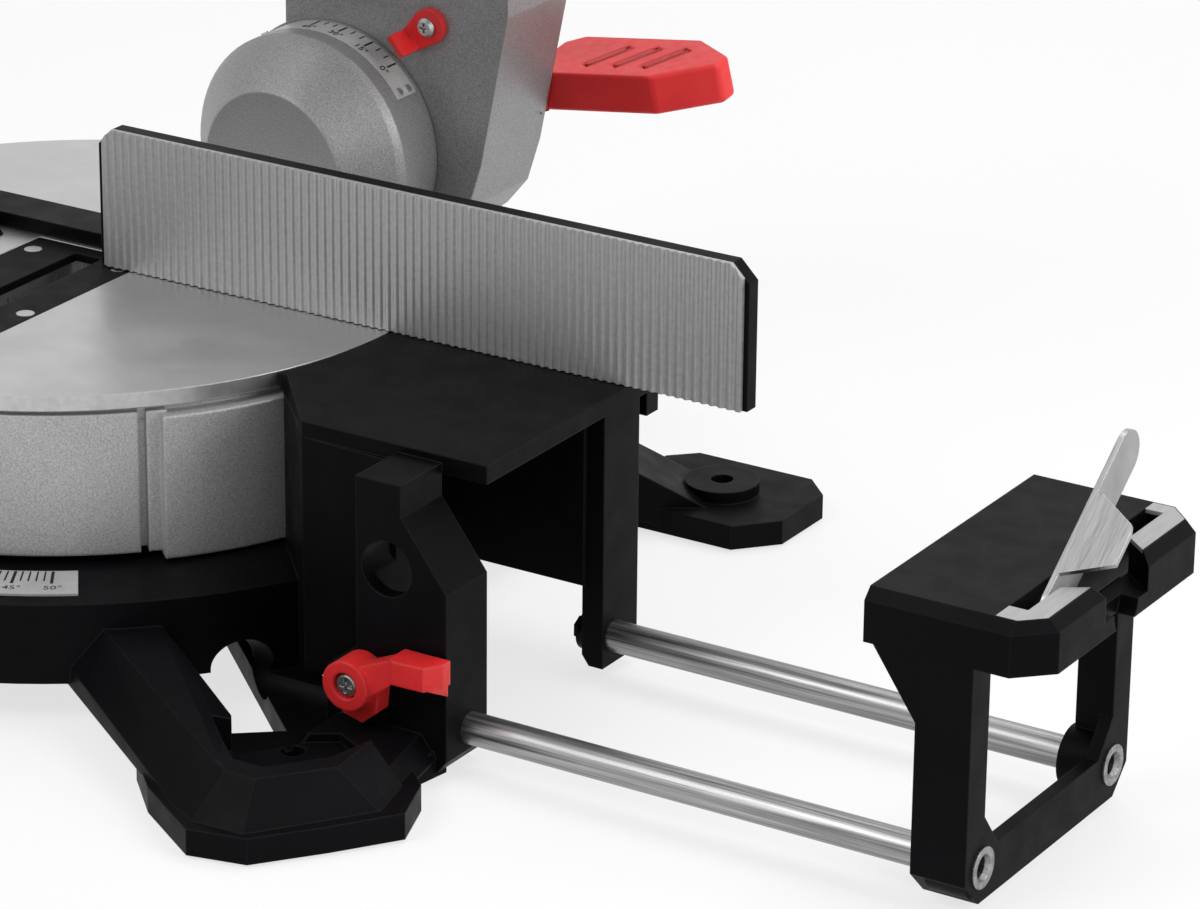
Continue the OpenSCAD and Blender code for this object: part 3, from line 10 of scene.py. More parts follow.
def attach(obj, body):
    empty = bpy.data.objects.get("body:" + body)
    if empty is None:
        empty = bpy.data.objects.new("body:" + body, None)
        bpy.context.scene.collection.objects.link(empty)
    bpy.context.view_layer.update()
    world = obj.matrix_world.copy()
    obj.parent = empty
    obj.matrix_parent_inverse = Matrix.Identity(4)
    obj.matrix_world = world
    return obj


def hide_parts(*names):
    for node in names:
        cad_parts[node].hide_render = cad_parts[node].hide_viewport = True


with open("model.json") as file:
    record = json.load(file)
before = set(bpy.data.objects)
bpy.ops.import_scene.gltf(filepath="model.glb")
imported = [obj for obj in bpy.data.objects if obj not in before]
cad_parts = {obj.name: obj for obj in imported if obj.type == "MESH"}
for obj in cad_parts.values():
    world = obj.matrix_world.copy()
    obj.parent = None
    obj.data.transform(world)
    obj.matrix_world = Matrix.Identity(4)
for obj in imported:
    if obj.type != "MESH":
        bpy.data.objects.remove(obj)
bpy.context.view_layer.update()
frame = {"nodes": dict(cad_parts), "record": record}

nodes = frame["nodes"]
MM = 0.001

# Places repeated from the part's source, in millimetres
TABLE_H = 112.0
TABLE_R = 147.0
SCALE_TOP = 47.0
SCALE_R0 = 155.0
SCALE_ZERO = -16.0
SCALE_LEFT = 47
SCALE_RIGHT = 50
DRUM_R = 51.0
DRUM_Y = 130.0
BEVEL_SCALE_Y0 = 162.0
BEVEL_ZERO = 50.0
HINGE = (203.0, 252.0)
RAISE = 40.0
ARBOR = (-60.0, 198.0)
MOTOR = (-15.0, 272.0)
BLADE_R = 105.0
TEETH = 40
COVER_X = 50.0
CAP_X = 210.0
GUARD_X = -12.0
GUARD_R = 114.0

# The grip in Y and Z from the motor's axis, with the head down: its path, its bracket and its two pockets
GRIP_PATH = ((-37, 54), (-103, 66), (-160, 53), (-190, 18), (-181, -18), (-135, -32), (-83, -10))
GRIP_X = 25.0
GRIP_HALF_X = 17.0
GRIP_R = 15.0
BRACKET = ((-45, 42), (-83, -23), (-69, -32), (-45, 18), (-13, 46), (-19, 64))
BRACKET_X = (12.5, 49.5)
TRIGGER = (-125.0, 44.0)
TRIGGER_HALF = (6.3, 16.3, 8.0)
TRIGGER_TRAVEL = 6.0
LOCK_OFF = (-107.0, 80.0)
LOCK_OFF_R = 6.3

# Small pieces added here, in millimetres and degrees
INK_T = 0.06
NUMBER_H = 4.6
SLOTS = 5
COVER_SCREWS = ((-76, 192), (-47, 183), (-64, 241), (-20, 214))
CAP_SCREW_R = 33
ARROW_R = (78, 84)
ARROW_HEAD_R = (72, 90)
ARROW_TURN = (62, 104, 114)


def raised(y, z):
    """Place in Y and Z of a point of the head that is drawn with the head down."""
    turn = math.radians(-RAISE)
    dy, dz = y - HINGE[0], z - HINGE[1]
    return (HINGE[0] + dy * math.cos(turn) - dz * math.sin(turn),
            HINGE[1] + dy * math.sin(turn) + dz * math.cos(turn))


ARBOR_UP = raised(*ARBOR)


class Look:
    """A procedural material: one Principled shader and the textures that drive it."""

    def __init__(self, name, sockets=None, soft=0.0008):
        """Edges look rounded over the soft radius, in metres."""
        self.material = bpy.data.materials.new(name)
        self.material.use_nodes = True
        self.nodes = self.material.node_tree.nodes
        self.links = self.material.node_tree.links
        self.shader = self.nodes["Principled BSDF"]
        for socket, value in (sockets or {}).items():
            self.shader.inputs[socket].default_value = value
        self.place = self.add("ShaderNodeTexCoord").outputs["Object"]
        self.rounded = self.add("ShaderNodeBevel", {"Radius": soft}, samples=4).outputs["Normal"]
        self.normal = self.rounded
        self.drive("Normal", self.normal)

    def add(self, kind, inputs=None, **settings):
        made = self.nodes.new(kind)
        for key, value in settings.items():
            setattr(made, key, value)
        for key, value in (inputs or {}).items():
            if isinstance(value, bpy.types.NodeSocket):
                self.links.new(value, made.inputs[key])
            else:
                made.inputs[key].default_value = value
        return made

    def drive(self, socket, value):
        self.links.new(value, self.shader.inputs[socket])

    def noise(self, size, detail=2.0, stretch=(1, 1, 1), turn=(0, 0, 0)):
        """Noise with features of about that size in metres, drawn out along the axes by stretch."""
        inputs = {"Vector": self.place, "Scale": [1 / s for s in stretch], "Rotation": turn}
        place = self.add("ShaderNodeMapping", inputs).outputs[0]
        inputs = {"Vector": place, "Scale": 1 / size, "Detail": detail}
        return self.add("ShaderNodeTexNoise", inputs).outputs["Fac"]

    def rings(self, axis, centre, spacing, waver=1.5):
        """Fine rings round an axis through a place in metres."""
        inputs = {"Vector": self.place, "Location": [-c for c in centre]}
        place = self.add("ShaderNodeMapping", inputs).outputs[0]
        scale = 2 * math.pi / (20 * spacing)
        inputs = {"Vector": place, "Scale": scale, "Distortion": waver, "Detail": 2.0}
        return self.add("ShaderNodeTexWave", inputs, wave_type="RINGS", rings_direction=axis).outputs["Fac"]

    def span(self, value, low, high, at=(0.3, 0.7)):
        inputs = {"Value": value, "From Min": at[0], "From Max": at[1], "To Min": low, "To Max": high}
        return self.add("ShaderNodeMapRange", inputs).outputs["Result"]

    def tones(self, value, low, high, at=(0.3, 0.7)):
        """Blend of two colours over part of a value's range."""
        made = self.add("ShaderNodeValToRGB", {"Fac": value})
        for element, place, colour in zip(made.color_ramp.elements, at, (low, high)):
            element.position = place
            element.color = (*colour, 1)
        return made.outputs["Color"]

    def mix(self, factor, a, b, blend="MIX"):
        made = self.add("ShaderNodeMix", {0: factor, 6: a, 7: b}, data_type="RGBA", blend_type=blend)
        return made.outputs[2]

    def relief(self, height, depth, strength=1.0):
        """Adds a bump of that depth in metres to those before it."""
        inputs = {"Height": height, "Distance": depth, "Strength": strength, "Normal": self.normal}
        self.normal = self.add("ShaderNodeBump", inputs).outputs["Normal"]
        self.drive("Normal", self.normal)

    def edges(self, edge_highlight):
        """0 on flats, rising to edge_highlight on edges: a painted highlight where rounded edges would
        catch the light.
        """
        flat = self.add("ShaderNodeNewGeometry").outputs["Normal"]
        inputs = {0: self.rounded, 1: flat}
        match = self.add("ShaderNodeVectorMath", inputs, operation="DOT_PRODUCT").outputs["Value"]
        return self.span(match, edge_highlight, 0.0, (0.8, 0.985))


def grey(value, blue=0.0):
    return (value, value, value * (1 + blue))


def painted_black(name, tone, rough, grain, depth, soft=0.0009):
    """Satin black with a fine moulded or sprayed grain, faint dust and a painted highlight along the edges.
    """
    look = Look(name, {"Specular IOR Level": 0.05}, soft)
    colour = look.tones(look.noise(0.045, 3.0), grey(tone * 0.7, 0.3), grey(tone * 1.35, 0.3))
    dust = look.span(look.noise(0.0011, 1.0), 0.0, 0.2, (0.66, 0.8))
    colour = look.mix(dust, colour, (*grey(tone * 8), 1))
    # Edges mixed to a lighter grey: painted highlight along the rounded edges.
    look.drive("Base Color", look.mix(look.edges(0.6), colour, (*grey(tone * 12), 1)))
    look.drive("Roughness", look.span(look.noise(0.012, 4.0), rough - 0.05, rough + 0.07))
    look.relief(look.noise(grain, 2.0), depth, 0.6)
    look.relief(look.noise(0.006, 2.0), depth, 0.25)
    return look.material


def cast_metal(name, tone, rough):
    """Silver-sprayed light alloy: soft clouds, a very fine sparkle and a slightly grainy skin."""
    look = Look(name, {"Metallic": 0.45}, 0.0014)
    cloud = look.tones(look.noise(0.06, 3.0), grey(tone * 0.92, 0.015), grey(tone * 1.06, 0.02))
    sparkle = look.tones(look.noise(0.0006, 2.0), grey(0.72), grey(1.2), (0.32, 0.68))
    colour = look.mix(1.0, cloud, sparkle, "MULTIPLY")
    # Edges mixed to a lighter silver: painted highlight along the rounded edges.
    look.drive("Base Color", look.mix(look.edges(0.45), colour, (*grey(min(tone * 1.5, 0.8)), 1)))
    look.drive("Roughness", look.span(look.noise(0.0012, 3.0), rough - 0.06, rough + 0.07))
    look.relief(look.noise(0.0006, 2.0), 0.00007, 0.45)
    look.relief(look.noise(0.006, 2.0), 0.00012, 0.25)
    return look.material


def turned_metal(name, tone, rough, axis, centre, spacing):
    """Bare metal with fine rings from the lathe or the grinding wheel, and thin rubbed patches."""
    look = Look(name, {"Metallic": 1.0}, 0.0005)
    lines = look.rings(axis, centre, spacing)
    patches = look.noise(0.02, 4.0)
    colour = look.tones(lines, grey(tone * 0.88), grey(tone * 1.05), (0.2, 0.8))
    look.drive("Base Color", look.mix(look.span(patches, 0.0, 0.3), colour, (*grey(tone * 0.8), 1)))
    look.drive("Roughness", look.span(patches, rough - 0.05, rough + 0.1))
    look.relief(lines, 0.00003, 0.4)
    look.relief(look.noise(0.0012, 2.0), 0.00002, 0.3)
    return look.material


def brushed_metal(name, tone, rough, fine, stretch, turn=(0, 0, 0), contrast=0.2, metallic=1.0, depth=2e-5):
    """Metal with brush lines along one direction, light and dark by the contrast; at a high contrast the
    streaks are partly painted reflections.
    """
    look = Look(name, {"Metallic": metallic}, 0.0004)
    lines = look.noise(fine, 3.0, stretch, turn)
    broad = look.noise(fine * 5, 2.0, stretch, turn)
    colour = look.tones(lines, grey(tone * (1 - contrast)), grey(tone * (1 + contrast)), (0.28, 0.72))
    shade = look.tones(broad, grey(1 - contrast), grey(1 + contrast * 0.4))
    look.drive("Base Color", look.mix(1.0, colour, shade, "MULTIPLY"))
    look.drive("Roughness", look.span(lines, rough - 0.06, rough + 0.08))
    look.relief(lines, depth, 0.4)
    return look.material


def moulded_red():
    look = Look("moulded_red", {"Specular IOR Level": 0.35, "Subsurface Weight": 0.05,
                                "Subsurface Radius": (0.002, 0.0006, 0.0006)}, 0.0012)
    colour = look.tones(look.noise(0.02, 3.0), (0.68, 0.020, 0.022), (0.78, 0.030, 0.032))
    # Edges mixed to a lighter red: painted highlight along the rounded edges.
    look.drive("Base Color", look.mix(look.edges(0.35), colour, (0.88, 0.12, 0.12, 1)))
    look.drive("Roughness", look.span(look.noise(0.004, 3.0), 0.36, 0.50))
    look.relief(look.noise(0.0006, 2.0), 0.00006, 0.4)
    look.relief(look.noise(0.008, 2.0), 0.0001, 0.2)
    return look.material


def soft_rubber():
    look = Look("soft_rubber", {"Specular IOR Level": 0.15})
    colour = look.tones(look.noise(0.01, 4.0), grey(0.010), grey(0.022))
    scuff = look.span(look.noise(0.0015, 2.0), 0.0, 0.3, (0.6, 0.8))
    look.drive("Base Color", look.mix(scuff, colour, (*grey(0.05), 1)))
    look.drive("Roughness", look.span(look.noise(0.003, 3.0), 0.66, 0.85))
    look.relief(look.noise(0.0007, 2.0), 0.0001, 0.6)
    return look.material


def printed_plate():
    look = Look("printed_plate", {"Metallic": 0.25}, 0.0003)
    colour = look.tones(look.noise(0.012, 3.0), grey(0.42), grey(0.52))
    fleck = look.tones(look.noise(0.0007, 2.0), grey(0.88), grey(1.06))
    look.drive("Base Color", look.mix(1.0, colour, fleck, "MULTIPLY"))
    look.drive("Roughness", look.span(look.noise(0.002, 3.0), 0.34, 0.48))
    look.relief(look.noise(0.0005, 2.0), 0.00004, 0.4)
    return look.material


def printing_ink():
    look = Look("printing_ink", {"Specular IOR Level": 0.2}, 0.0001)
    look.drive("Base Color", look.tones(look.noise(0.0006, 3.0), grey(0.004), grey(0.014)))
    look.drive("Roughness", look.span(look.noise(0.001, 2.0), 0.45, 0.6))
    return look.material


def smoked_clear():
    look = Look("smoked_clear", {"Transmission Weight": 0.9, "IOR": 1.49}, 0.0003)
    look.drive("Base Color", look.tones(look.noise(0.05, 2.0), (0.30, 0.31, 0.33), (0.42, 0.43, 0.46)))
    scratches = look.noise(0.0008, 2.0, (1, 14, 1), (0.6, 0, 0))
    look.drive("Roughness", look.span(scratches, 0.05, 0.22, (0.45, 0.8)))
    look.relief(scratches, 0.00003, 0.3)
    return look.material


def wound_motor():
    look = Look("wound_motor", {"Metallic": 0.7})
    turns = look.noise(0.0012, 1.0, (1, 30, 30))
    look.drive("Base Color", look.tones(turns, (0.10, 0.05, 0.02), (0.55, 0.26, 0.12)))
    look.drive("Roughness", look.span(turns, 0.3, 0.5))
    look.relief(turns, 0.0003, 0.7)
    return look.material


arbor_place = [0.0, ARBOR_UP[0] * MM, ARBOR_UP[1] * MM]
looks = {
    "black_paint": painted_black("sprayed_black", 0.0025, 0.46, 0.0010, 0.00008),
    "black_plastic": painted_black("moulded_black", 0.0030, 0.50, 0.0007, 0.00010),
    # Arm, drum and guard: the same silver paint as the table's skirt, painted darker (tone 0.28 against
    # 0.43) as painted shade.
    "cast_aluminium": cast_metal("cast_alloy_painted_shade", 0.28, 0.42),
    "strip_aluminium": brushed_metal("satin_strip", 0.40, 0.46, 0.0004, (1, 24, 1), contrast=0.1,
                                     metallic=0.7),
    "scale_plate": printed_plate(),
    "red_plastic": moulded_red(),
    # Bars: strong contrast, so the streaks are partly real grinding marks and partly painted reflections of
    # dark and bright surroundings.
    "bar_steel": brushed_metal("ground_bar", 0.32, 0.36, 0.0006, (70, 1, 1), contrast=0.4),
    "stainless_steel": brushed_metal("brushed_stainless", 0.36, 0.36, 0.0004, (1, 26, 26), contrast=0.16),
    "zinc_steel": brushed_metal("zinc_plate", 0.46, 0.34, 0.0005, (1, 3, 3), contrast=0.08, depth=5e-6),
    "black_steel": painted_black("oxide_black", 0.008, 0.36, 0.0008, 0.00004, 0.0004),
    "rubber": soft_rubber(),
    "smoke_plastic": smoked_clear(),
    "blade_steel": turned_metal("ground_blade", 0.52, 0.30, "X", arbor_place, 0.0007),
    "motor_iron": wound_motor(),
}
table_alloy = cast_metal("table_alloy", 0.43, 0.44)
satin_plate = brushed_metal("satin_plate", 0.36, 0.46, 0.0004, (1, 24, 1), contrast=0.08, metallic=0.7)
machined_top = turned_metal("machined_top", 0.52, 0.36, "Z", [0, 0, 0], 0.0009)
grip_rubber = soft_rubber()
carbide = brushed_metal("carbide", 0.32, 0.3, 0.0006, (1, 1, 1))
ink = printing_ink()

slot_of = {part["node"]: part["material_slot"] for part in frame["record"]["subparts"]}
for name, thing in nodes.items():
    thing.data.materials.clear()
    thing.data.materials.append(satin_plate if name.endswith("wear_strip") else looks[slot_of[name]])


def paint_faces(name, material, wanted):
    """Gives the faces of a node that answer the test a second material."""
    mesh = nodes[name].data
    mesh.materials.append(material)
    index = len(mesh.materials) - 1
    for face in mesh.polygons:
        if wanted(face.center / MM, face.normal):
            face.material_index = index


def beside_drum(place):
    return place.y < DRUM_Y or abs(place.x) > DRUM_R + 0.1


def on_table_rim(place, normal):
    flat = place.z > TABLE_H - 0.5 and normal.z > 0.9
    rim = abs(math.hypot(place.x, place.y) - TABLE_R) < 0.6 and abs(place.z - TABLE_H + 3) < 3.1
    return beside_drum(place) and (flat or rim)


def on_table_skirt(place, normal):
    return beside_drum(place) and place.z < TABLE_H - 0.5 and not on_table_rim(place, normal)


def on_rivet(place, normal):
    return math.hypot(place.x, place.z - TABLE_H) > DRUM_R + 0.15


# The drum's faces on the turntable keep the darker alloy, a painted shade; the skirt and rim get their own
# looks.
paint_faces("turntable", machined_top, on_table_rim)
paint_faces("turntable", table_alloy, on_table_skirt)
paint_faces("bevel_scale", looks["zinc_steel"], on_rivet)

# Width in millimetres of the rounding along the edges of the thick moulded pieces
ROUNDED = {"bevel_lever": 1.8, "carry_handle": 3.0, "trigger": 1.0}


def round_edges(thing, width):
    """Welds a node's mesh, joins its flat faces and rounds its edges, as modifiers."""
    weld = thing.modifiers.new("weld", "WELD")
    weld.merge_threshold = 1e-6
    flat = thing.modifiers.new("flat", "DECIMATE")
    flat.decimate_type = "DISSOLVE"
    flat.angle_limit = math.radians(0.4)
    bevel = thing.modifiers.new("round", "BEVEL")
    bevel.width = width * MM
    bevel.segments = 3
    bevel.limit_method = "ANGLE"
    bevel.angle_limit = math.radians(24)
    bevel.use_clamp_overlap = False
    split = thing.modifiers.new("split", "TRIANGULATE")
    split.min_vertices = 5
    normals = thing.modifiers.new("normals", "WEIGHTED_NORMAL")
    normals.keep_sharp = True
    normals.weight = 80


for name, width in ROUNDED.items():
    round_edges(nodes[name], width)


def piece(name, mesh, material, body):
    """A new object of the model that rides on a body."""
    made = bpy.data.objects.new(name, mesh)
    bpy.context.scene.collection.objects.link(made)
    mesh.materials.clear()
    mesh.materials.append(material)
    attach(made, body)
    return made


def mesh_of(bm, name):
    mesh = bpy.data.meshes.new(name)
    bm.to_mesh(mesh)
    bm.free()
    return mesh


def add_slab(bm, corners, top, bottom):
    """Flat plate between two heights, from corners given in its own plane."""
    rows = [[bm.verts.new((x, y, z)) for x, y in corners] for z in (bottom, top)]
    count = len(corners)
    bm.faces.new(rows[1])
    bm.faces.new(rows[0][::-1])
    for i in range(count):
        k = (i + 1) % count
        bm.faces.new((rows[0][i], rows[0][k], rows[1][k], rows[1][i]))


def add_word(bm, word, size, middle, thickness):
    """Generic number or sign in its own plane, centred on a place."""
    curve = bpy.data.curves.new("word", "FONT")
    curve.body = word
    curve.size = size
    curve.align_x = "CENTER"
    curve.align_y = "CENTER"
    curve.extrude = thickness / 2
    curve.resolution_u = 3
    carrier = bpy.data.objects.new("word", curve)
    bpy.context.scene.collection.objects.link(carrier)
    bpy.context.view_layer.update()
    mesh = bpy.data.meshes.new_from_object(carrier.evaluated_get(bpy.context.evaluated_depsgraph_get()))
    start = len(bm.verts)
    bm.from_mesh(mesh)
    bm.verts.ensure_lookup_table()
    for vert in bm.verts[start:]:
        vert.co = Vector((vert.co.x + middle[0], vert.co.y + middle[1], vert.co.z + thickness / 2))
    bpy.data.objects.remove(carrier)
    bpy.data.curves.remove(curve)
    bpy.data.meshes.remove(mesh)


def upright(along, half, low, high):
    """Corners of a scale's line that is centred on a place along the scale."""
    return [(along - half, low), (along + half, low), (along + half, high), (along - half, high)]


def mitre_marks():
    """Degree lines and numbers on the mitre scale, in millimetres along the arc and across it."""
    bm = bmesh.new()
    for mark in range(-SCALE_LEFT, SCALE_RIGHT + 1):
        heavy = mark % 5 == 0
        half, length = (0.55, 11.6) if heavy else (0.3, 9.4)
        along = math.radians(mark) * SCALE_R0
        add_slab(bm, upright(along, half, -length, -0.6), INK_T, -0.02)
        if heavy:
            add_word(bm, f"{abs(mark)}°", NUMBER_H, (along + 0.5, -15.6), INK_T)
    for vert in bm.verts:
        radius = SCALE_R0 - vert.co.y
        turn = math.radians(-90 + SCALE_ZERO) + vert.co.x / SCALE_R0
        vert.co = Vector((radius * math.cos(turn), radius * math.sin(turn), SCALE_TOP + vert.co.z)) * MM
    piece("mitre_marks", mesh_of(bm, "mitre_marks"), ink, "base")


def bevel_marks():
    """Degree lines and numbers on the bevel scale, wrapped round the drum."""
    bm = bmesh.new()
    for mark in range(0, 46, 5):
        heavy = mark % 15 == 0
        half, start = (0.4, 6.4) if heavy else (0.25, 9.0)
        along = -math.radians(mark) * DRUM_R
        add_slab(bm, upright(along, half, start, 12.6), 2 * INK_T, -0.05)
        if heavy:
            add_word(bm, f"{mark}°", NUMBER_H, (along + 0.4, 3.6), 2 * INK_T)
    for vert in bm.verts:
        turn = math.radians(BEVEL_ZERO) - vert.co.x / DRUM_R
        radius = DRUM_R + vert.co.z
        vert.co = Vector((radius * math.cos(turn), BEVEL_SCALE_Y0 + vert.co.y,
                          TABLE_H + radius * math.sin(turn))) * MM
    piece("bevel_marks", mesh_of(bm, "bevel_marks"), ink, "table")


def to_blade(bm):
    """Moves a mesh drawn flat round the arbor, in millimetres, to the blade's plane, in metres."""
    for vert in bm.verts:
        y, z, x = vert.co
        vert.co = Vector((x, y + ARBOR_UP[0], z + ARBOR_UP[1])) * MM
    bmesh.ops.recalc_face_normals(bm, faces=bm.faces)


def carbide_tips():
    """Brazed tips on the blade's teeth, a little wider than the plate."""
    bm = bmesh.new()
    outline = [(BLADE_R - 7.2, 2.0), (BLADE_R - 6.8, -0.2), (BLADE_R, -1.5), (BLADE_R - 0.1, 0.3)]
    for i in range(TEETH):
        turn = math.radians(360 / TEETH * i - RAISE)
        corners = [(u * math.cos(turn) - v * math.sin(turn), u * math.sin(turn) + v * math.cos(turn))
                   for u, v in outline]
        add_slab(bm, corners, 1.5, -1.5)
    to_blade(bm)
    made = piece("carbide_tips", mesh_of(bm, "carbide_tips"), carbide, "spindle")
    bevel = made.modifiers.new("round", "BEVEL")
    bevel.width = 0.12 * MM


def blade_slots():
    """Curved expansion slots from the blade's rim, filled with dark resin that stands just proud."""
    bm = bmesh.new()
    across = math.radians(0.22)
    for i in range(SLOTS):
        edges = [[], []]
        for k in range(9):
            reach = BLADE_R - 9 - 2.6 * k
            turn = math.radians(360 / SLOTS * i - RAISE + 4.5 + 0.16 * k * k)
            for edge, side in zip(edges, (-across, across)):
                edge.append((reach * math.cos(turn + side), reach * math.sin(turn + side)))
        add_slab(bm, edges[0] + edges[1][::-1], 1.25, -1.25)
    to_blade(bm)
    piece("blade_slots", mesh_of(bm, "blade_slots"), ink, "spindle")


def screw_heads(name, places, radius, height, body, material):
    """Rounded screw heads with a cross recess, each at a place with its outward direction."""
    bm = bmesh.new()
    sides = 24
    angles = [2 * math.pi * i / sides for i in range(sides)]
    for place, out in places:
        turn = Vector((0, 0, 1)).rotation_difference(Vector(out)).to_matrix().to_4x4()
        turn.translation = Vector(place)
        profile = [(radius, -0.4), (radius, height * 0.45), (radius * 0.86, height * 0.8),
                   (radius * 0.6, height)]
        rows = [[bm.verts.new(turn @ Vector((r * math.cos(a), r * math.sin(a), h))) for a in angles]
                for r, h in profile]
        for low, high in zip(rows, rows[1:]):
            for i in range(sides):
                k = (i + 1) % sides
                bm.faces.new((low[i], low[k], high[k], high[i]))
        bm.faces.new(rows[0][::-1])
        # Cross recess: a sunk plus with its walls, joined to the head's flat by a ring of faces
        arm, half, deep = radius * 0.44, radius * 0.12, height * 0.45
        plus = [(arm, -half), (arm, half), (half, half), (half, arm), (-half, arm), (-half, half),
                (-arm, half), (-arm, -half), (-half, -half), (-half, -arm), (half, -arm), (half, -half)]
        top = [bm.verts.new(turn @ Vector((x, y, height))) for x, y in plus]
        low = [bm.verts.new(turn @ Vector((x * 0.85, y * 0.85, height - deep))) for x, y in plus]
        count = len(plus)
        for i in range(count):
            k = (i + 1) % count
            bm.faces.new((top[k], top[i], low[i], low[k]))
        bm.faces.new(low)
        ring = rows[-1]
        edges = [bm.edges.get((ring[i], ring[(i + 1) % sides])) for i in range(sides)]
        edges += [bm.edges.get((top[i], top[(i + 1) % count])) for i in range(count)]
        bmesh.ops.triangle_fill(bm, edges=edges, use_beauty=True)
    bmesh.ops.recalc_face_normals(bm, faces=bm.faces)
    for vert in bm.verts:
        vert.co *= MM
    piece(name, mesh_of(bm, name), material, body)


def head_point(x, y, z):
    return (x, *raised(y, z))


def to_head(bm):
    """Moves a mesh drawn in millimetres with the head down to the raised head, in metres."""
    for vert in bm.verts:
        vert.co = Vector(head_point(*vert.co)) * MM


def from_motor(x, place):
    """Place in the head from one in Y and Z from the motor's axis."""
    return Vector((x, MOTOR[0] + place[0], MOTOR[1] + place[1]))


def curve_through(points, steps):
    """Places and directions along a smooth curve through points in a plane."""
    points = [Vector(p) for p in points]
    points = [2 * points[0] - points[1], *points, 2 * points[-1] - points[-2]]
    found = []
    for a, b, c, d in zip(points, points[1:], points[2:], points[3:]):
        slope = c - a
        bend = 2 * a - 5 * b + 4 * c - d
        twist = 3 * b - a - 3 * c + d
        for i in range(steps):
            t = i / steps
            place = 0.5 * (2 * b + slope * t + bend * t ** 2 + twist * t ** 3)
            along = 0.5 * (slope + 2 * bend * t + 3 * twist * t ** 2)
            found.append((place, along.normalized()))
    found.append((points[-2], (points[-2] - points[-3]).normalized()))
    return found


def grip_rings():
    """Rings of the grip as centre, direction and size: round ends, a plain shell and a raised soft part."""
    steps = 10
    stations = curve_through(GRIP_PATH, steps)
    soft = range(steps, 4 * steps)
    rings = []
    for i, (place, along) in enumerate(stations):
        waves = 0.03 * math.cos(2 * math.pi * i / 5) if i in soft else 0.0
        size = (0.99 + waves * 0.3) if i in soft else 0.95
        if i == soft.start:
            rings.append((place - along * 0.3, along, 0.95, False))
        rings.append((place, along, size, i in soft and i + 1 in soft))
        if i + 1 == soft.stop:
            rings.append((place + along * 0.3, along, 0.95, False))
    swell = [(math.sin(a), math.cos(a)) for a in (0.4, 0.8, 1.15, 1.45)]
    first, last = stations[0], stations[-1]
    for out, size in swell:
        rings.insert(0, (first[0] - first[1] * GRIP_R * out, first[1], 0.95 * size, False))
        rings.append((last[0] + last[1] * GRIP_R * out, last[1], 0.95 * size, False))
    return rings


def closed_box(low, high):
    bm = bmesh.new()
    bmesh.ops.create_cube(bm, size=1.0)
    for vert in bm.verts:
        vert.co = Vector([a + (b - a) * (c + 0.5) for a, b, c in zip(low, high, vert.co)])
    return bm


def cut_out(mesh, tools):
    """The mesh with closed tools cut out of it."""
    thing = bpy.data.objects.new("blank", mesh)
    bpy.context.scene.collection.objects.link(thing)
    cutters = []
    for tool in tools:
        cutter = bpy.data.objects.new("cutter", tool)
        bpy.context.scene.collection.objects.link(cutter)
        change = thing.modifiers.new("cut", "BOOLEAN")
        change.object = cutter
        change.solver = "EXACT"
        cutters.append(cutter)
    bpy.context.view_layer.update()
    result = bpy.data.meshes.new_from_object(thing.evaluated_get(bpy.context.evaluated_depsgraph_get()))
    for used in (thing, *cutters):
        bpy.data.objects.remove(used)
    return result


def grip():
    """D-shaped handle with a soft part, pockets for its trigger and button, and its bracket."""
    bm = bmesh.new()
    sides, square = 32, 2.7
    rows, soft_rows = [], []
    for place, along, size, soft in grip_rings():
        out = Vector((along.y, -along.x))
        row = []
        for k in range(sides):
            turn = 2 * math.pi * k / sides
            c, s = (math.copysign(abs(f(turn)) ** (2 / square), f(turn)) for f in (math.cos, math.sin))
            offset = out * s * GRIP_R * size
            row.append(bm.verts.new(from_motor(GRIP_X + c * GRIP_HALF_X * size, place + offset)))
        rows.append(row)
        soft_rows.append(soft)
    for a, b, soft in zip(rows, rows[1:], soft_rows):
        for k in range(sides):
            m = (k + 1) % sides
            bm.faces.new((a[k], a[m], b[m], b[k])).material_index = int(soft)
    bm.faces.new(rows[0])
    bm.faces.new(rows[-1])
    bmesh.ops.recalc_face_normals(bm, faces=bm.faces)
    to_head(bm)
    middle = from_motor(GRIP_X, TRIGGER)
    half = Vector(TRIGGER_HALF)
    pocket = closed_box(middle - half, middle + half + Vector((0, 0, TRIGGER_TRAVEL)))
    button = bmesh.new()
    bmesh.ops.create_cone(button, cap_ends=True, segments=40, radius1=LOCK_OFF_R, radius2=LOCK_OFF_R,
                          depth=22)
    bmesh.ops.translate(button, verts=button.verts, vec=from_motor(GRIP_X, LOCK_OFF) + Vector((0, 0, 1)))
    tools = []
    for tool in (pocket, button):
        to_head(tool)
        tools.append(mesh_of(tool, "tool"))
    mesh = cut_out(mesh_of(bm, "grip"), tools)
    mesh.shade_smooth()
    mesh.set_sharp_from_angle(angle=math.radians(40))
    made = piece("grip", mesh, looks["black_plastic"], "head")
    mesh.materials.append(grip_rubber)
    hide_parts("handle")

    bm = bmesh.new()
    add_slab(bm, [(MOTOR[0] + y, MOTOR[1] + z) for y, z in BRACKET], BRACKET_X[1], BRACKET_X[0])
    for vert in bm.verts:
        vert.co = Vector((vert.co.z, vert.co.x, vert.co.y))
    bmesh.ops.recalc_face_normals(bm, faces=bm.faces)
    to_head(bm)
    web = piece("handle_bracket", mesh_of(bm, "handle_bracket"), looks["black_plastic"], "head")
    bevel = web.modifiers.new("round", "BEVEL")
    bevel.width = 3 * MM
    bevel.segments = 3


def add_arc(bm, r0, r1, start, end, low, high):
    """Raised band about the arbor between two angles in degrees, from one place along X to another."""
    steps = max(2, round((end - start) / 4))
    turns = [math.radians(start + (end - start) * i / steps) for i in range(steps + 1)]
    outline = [(r1 * math.cos(t), r1 * math.sin(t)) for t in turns]
    outline += [(r0 * math.cos(t), r0 * math.sin(t)) for t in reversed(turns)]
    add_slab(bm, outline, high, low)


